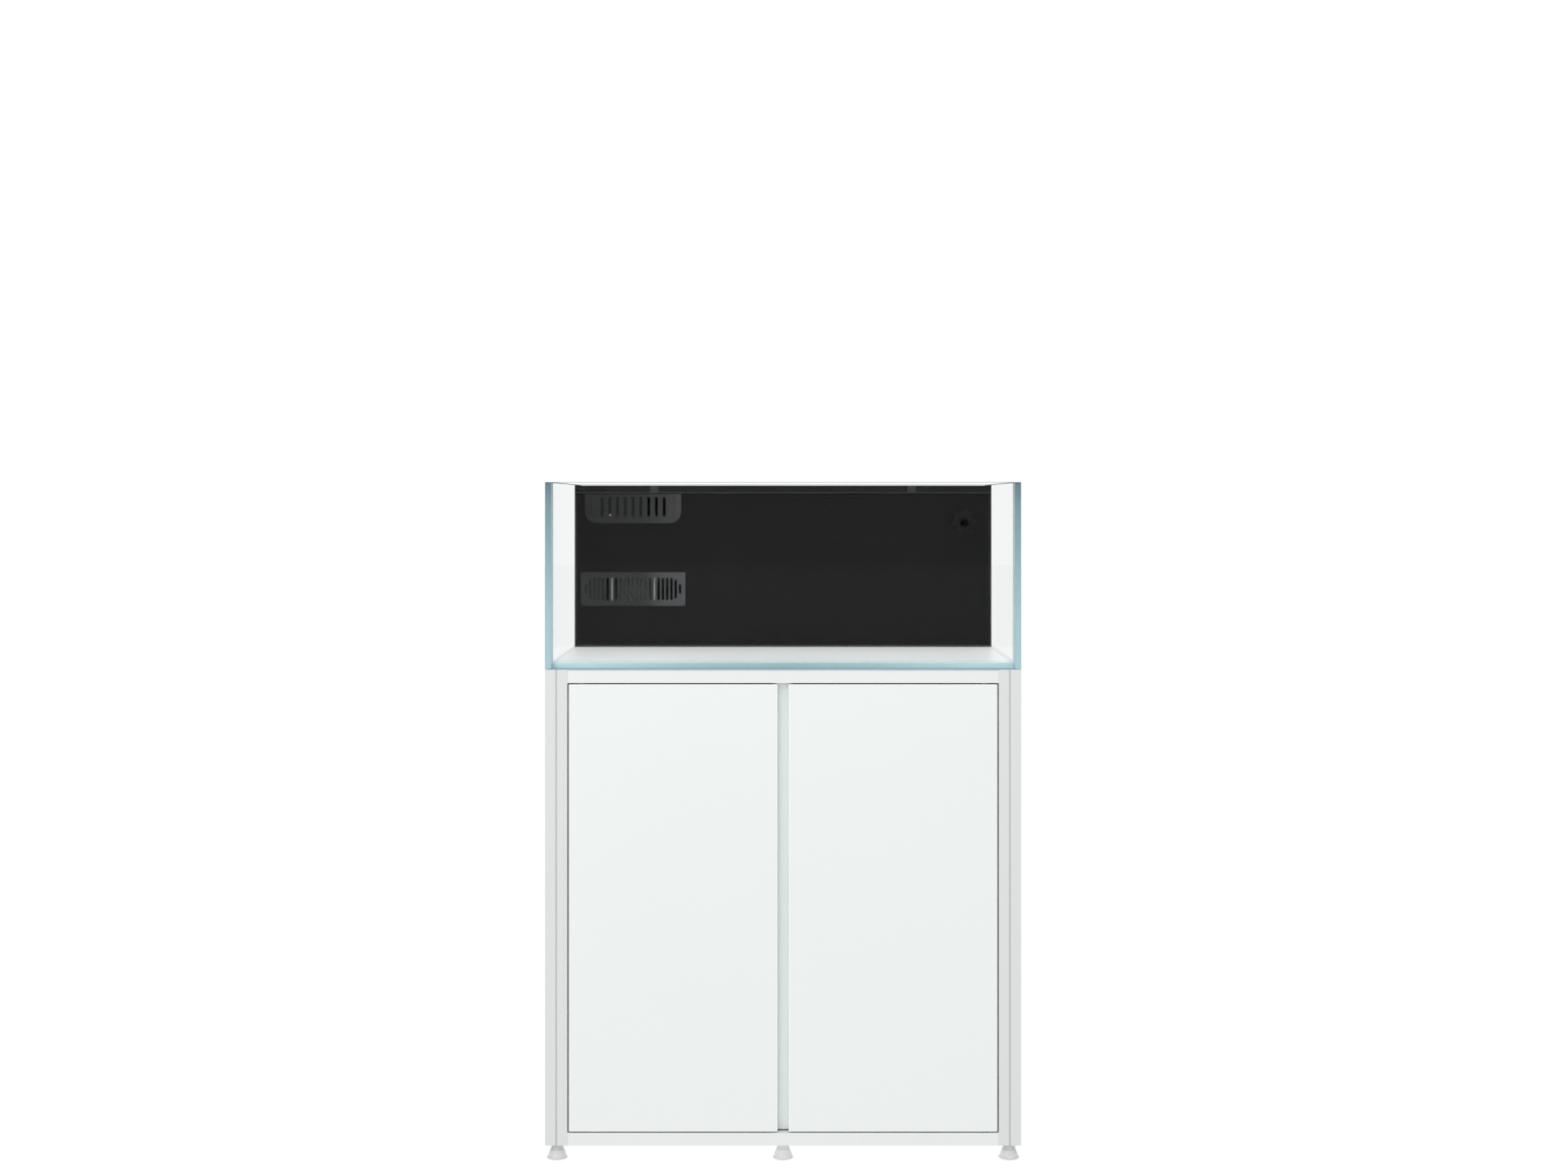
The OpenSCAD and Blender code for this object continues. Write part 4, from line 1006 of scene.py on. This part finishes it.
def hose():
    """Short clamped hose, pinched a little under its clamps."""
    low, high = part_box("return_hose")
    height, pinch = high.z - low.z, 0.35 * MM
    profile = [(10 * MM, 0.5 * MM), (10.5 * MM, 0), (12.6 * MM, 0), (13 * MM, 0.4 * MM)]
    for k in range(1, 60):
        h = height * k / 60
        edge = min(abs(h - 6.5 * MM), abs(h - height + 6.5 * MM))
        profile.append((13 * MM - pinch * max(0, 1 - edge / (7 * MM)), h))
    profile += [(13 * MM, height - 0.4 * MM), (12.6 * MM, height)]
    profile += [(10.5 * MM, height), (10 * MM, height - 0.5 * MM)]
    mesh = bmesh.new()
    lathe(mesh, profile, (PUMP_X, HOSE_Y, low.z), UP, 48, loop=True)
    piece("vinyl_hose", mesh, [VINYL], "return_hose", ["return_hose"])


def clamps():
    """Worm-drive clamps: a slotted band, a housing and a screw with a hexagon head."""
    low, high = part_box("hose_clamps")
    tall = 9 * MM
    mesh = bmesh.new()
    for z in (low.z, high.z - tall):
        pipe(mesh, 14.2 * MM, 12.9 * MM, (PUMP_X, HOSE_Y, 0), UP, z, z + tall, 0.3 * MM, 56)
        for k in range(20):
            turn = Matrix.Rotation(radians(120 + 300 * k / 19), 4, "Z")
            tooth = bmesh.new()
            boxed(tooth, (14 * MM, -0.5 * MM, 2.2 * MM), (14.4 * MM, 0.5 * MM, tall - 2.2 * MM), 0.1 * MM, 1)
            tooth.transform(at(PUMP_X, HOSE_Y, z) @ turn)
            drawn = bpy.data.meshes.new("tooth")
            tooth.to_mesh(drawn)
            tooth.free()
            mesh.from_mesh(drawn)
            bpy.data.meshes.remove(drawn)
        near = HOSE_Y + 14.2 * MM
        housing_low = (PUMP_X - 5 * MM, near - 0.3 * MM, z)
        housing_high = (PUMP_X + 3 * MM, high.y - 0.6 * MM, z + tall)
        boxed(mesh, housing_low, housing_high, 0.9 * MM, 3)
        middle = (PUMP_X, (near + high.y) / 2, z + tall / 2)
        rod(mesh, 2.7 * MM, middle, ALONG_X, 2.5 * MM, 5 * MM, 0.4 * MM, 6)
    piece("worm_clamps", mesh, [STAINLESS], "hose_clamps", ["hose_clamps"])


# ---- Materials of the CAD nodes that keep their shape ----

BY_SLOT = {
    "frame_coat": RAIL_COAT,
    "zinc_steel": ZINC,
    "dark_rubber": RUBBER,
    "dark_plastic": DARK_PLASTIC,
    "board": BOARD,
    "door_gloss": LACQUER,
    "back_sheet": BACK_SHEET,
    "nylon": GLOWING_NYLON,
    "foot_metal": FOOT,
    "foam_mat": MAT,
    "clear_glass": CLEAR_SIDE,
    "silicone": SILICONE,
    "black_acrylic": WALL,
    "black_moulding": BLACK_MOULDING,
    "sponge": SPONGE,
    "hose_vinyl": VINYL,
    "clamp_steel": STAINLESS,
}
BY_NODE = {
    "chamber_film": FILM,
    "magnet_catches": MAGNET,
    "nozzle_seat": NUT_MOULDING,
    "return_bulkhead": NUT_MOULDING,
}
BY_NODE.update({n: POST_COAT for n in NODES if n.endswith("_post")})
BY_NODE["front_centre_post"] = CENTRE_COAT


def paint_frame():
    for name, made in NODES.items():
        material = BY_NODE.get(name) or BY_SLOT[SLOT_OF[name]]
        made.data.materials.clear()
        made.data.materials.append(material)


SOFTENED_SLOTS = ("frame_coat", "board", "door_gloss", "back_sheet", "black_acrylic")


def soften_edges():
    """Small roundings on the tubes, boards and panels that keep their CAD mesh."""
    for name, made in NODES.items():
        if SLOT_OF[name] in SOFTENED_SLOTS and not made.hide_render:
            bevel = made.modifiers.new("Rounded edges", "BEVEL")
            bevel.width = 0.5 * MM
            bevel.segments = 2
            bevel.limit_method = "ANGLE"
            bevel.angle_limit = radians(50)
            bevel.harden_normals = True


# ---- Stage ----


def floor():
    """Pale studio floor, bright enough to leave only faint shadows."""
    mesh = bmesh.new()
    bmesh.ops.create_circle(mesh, cap_ends=True, segments=64, radius=40)
    data = bpy.data.meshes.new("studio_floor")
    mesh.to_mesh(data)
    mesh.free()
    made = bpy.data.objects.new("studio_floor", data)
    made.location.z = -0.0005
    bpy.context.scene.collection.objects.link(made)
    material, tree, shader, place = start("studio_floor")
    tone_of = ramp(tree, noise(tree, place, 0.7, 2.0), [(0.3, (0.08,) * 3), (0.7, (0.09,) * 3)])
    tree.links.new(tone_of, shader.inputs["Base Color"])
    shader.inputs["Roughness"].default_value = 0.9
    shader.inputs["Specular IOR Level"].default_value = 0.0
    shader.inputs["Emission Color"].default_value = (1, 1, 1, 1)
    shader.inputs["Emission Strength"].default_value = WHITE_FLOOR
    data.materials.append(material)


def sky():
    """White surroundings, dimmer as light than as background."""
    world = bpy.data.worlds.new("studio")
    bpy.context.scene.world = world
    world.use_nodes = True
    tree = world.node_tree
    tree.nodes.clear()
    seen = add(tree, "ShaderNodeBackground", {"Color": (1, 1, 1, 1), "Strength": WHITE_BACKGROUND})
    light = add(tree, "ShaderNodeBackground", {"Color": (1, 1, 1, 1), "Strength": SKY_LIGHT})
    camera = add(tree, "ShaderNodeLightPath").outputs["Is Camera Ray"]
    mixed = add(tree, "ShaderNodeMixShader", {0: camera, 1: light.outputs[0], 2: seen.outputs[0]})
    out = add(tree, "ShaderNodeOutputWorld")
    tree.links.new(mixed.outputs[0], out.inputs["Surface"])


def softbox(name, place, target, size, power):
    data = bpy.data.lights.new(name, "AREA")
    data.shape = "RECTANGLE"
    data.size, data.size_y = size
    data.energy = power
    made = bpy.data.objects.new(name, data)
    made.location = place
    made.rotation_euler = (Vector(target) - Vector(place)).to_track_quat("-Z", "Y").to_euler()
    made.visible_camera = False
    bpy.context.scene.collection.objects.link(made)


def camera():
    data = bpy.data.cameras.new("camera")
    data.lens = 50.85
    data.sensor_width = 36
    data.shift_x = 0.0006
    data.shift_y = -0.0544
    data.clip_start, data.clip_end = 0.05, 100
    made = bpy.data.objects.new("camera", data)
    made.location = (0, -4.485, 1.243)
    made.rotation_euler = (pi / 2, 0, 0)
    bpy.context.scene.collection.objects.link(made)
    bpy.context.scene.camera = made


camera()
bpy.context.scene.view_settings.view_transform = "Standard"
sky()
floor()
softbox("key", (-2.2, -4.6, 3.4), (0, 0, 0.7), (3.4, 2.6), 82)
softbox("fill", (3.2, -3.6, 1.9), (0, 0, 0.7), (2.6, 2.6), 10)
softbox("overhead", (0, -0.4, 3.6), (0, -0.1, 1.0), (2.6, 2.0), 40)
softbox("back", (1.0, 4.2, 3.2), (0, 0, 0.8), (3.0, 2.0), 40)
paint_frame()
panes()
foam_mat()
weir()
grille()
cover()
lobed_nut()
ball_nozzle()
for door_node in ("left_door", "right_door"):
    leaf(door_node)
    hinge_hardware(door_node + "_hardware")
for foot_node in sorted(n for n in NODES if n.endswith("_foot")):
    foot(foot_node)
pivot_bushes()
catches()
frame_screws()
grommets()
sponge()
basket()
pump()
elbow()
hose()
clamps()
soften_edges()
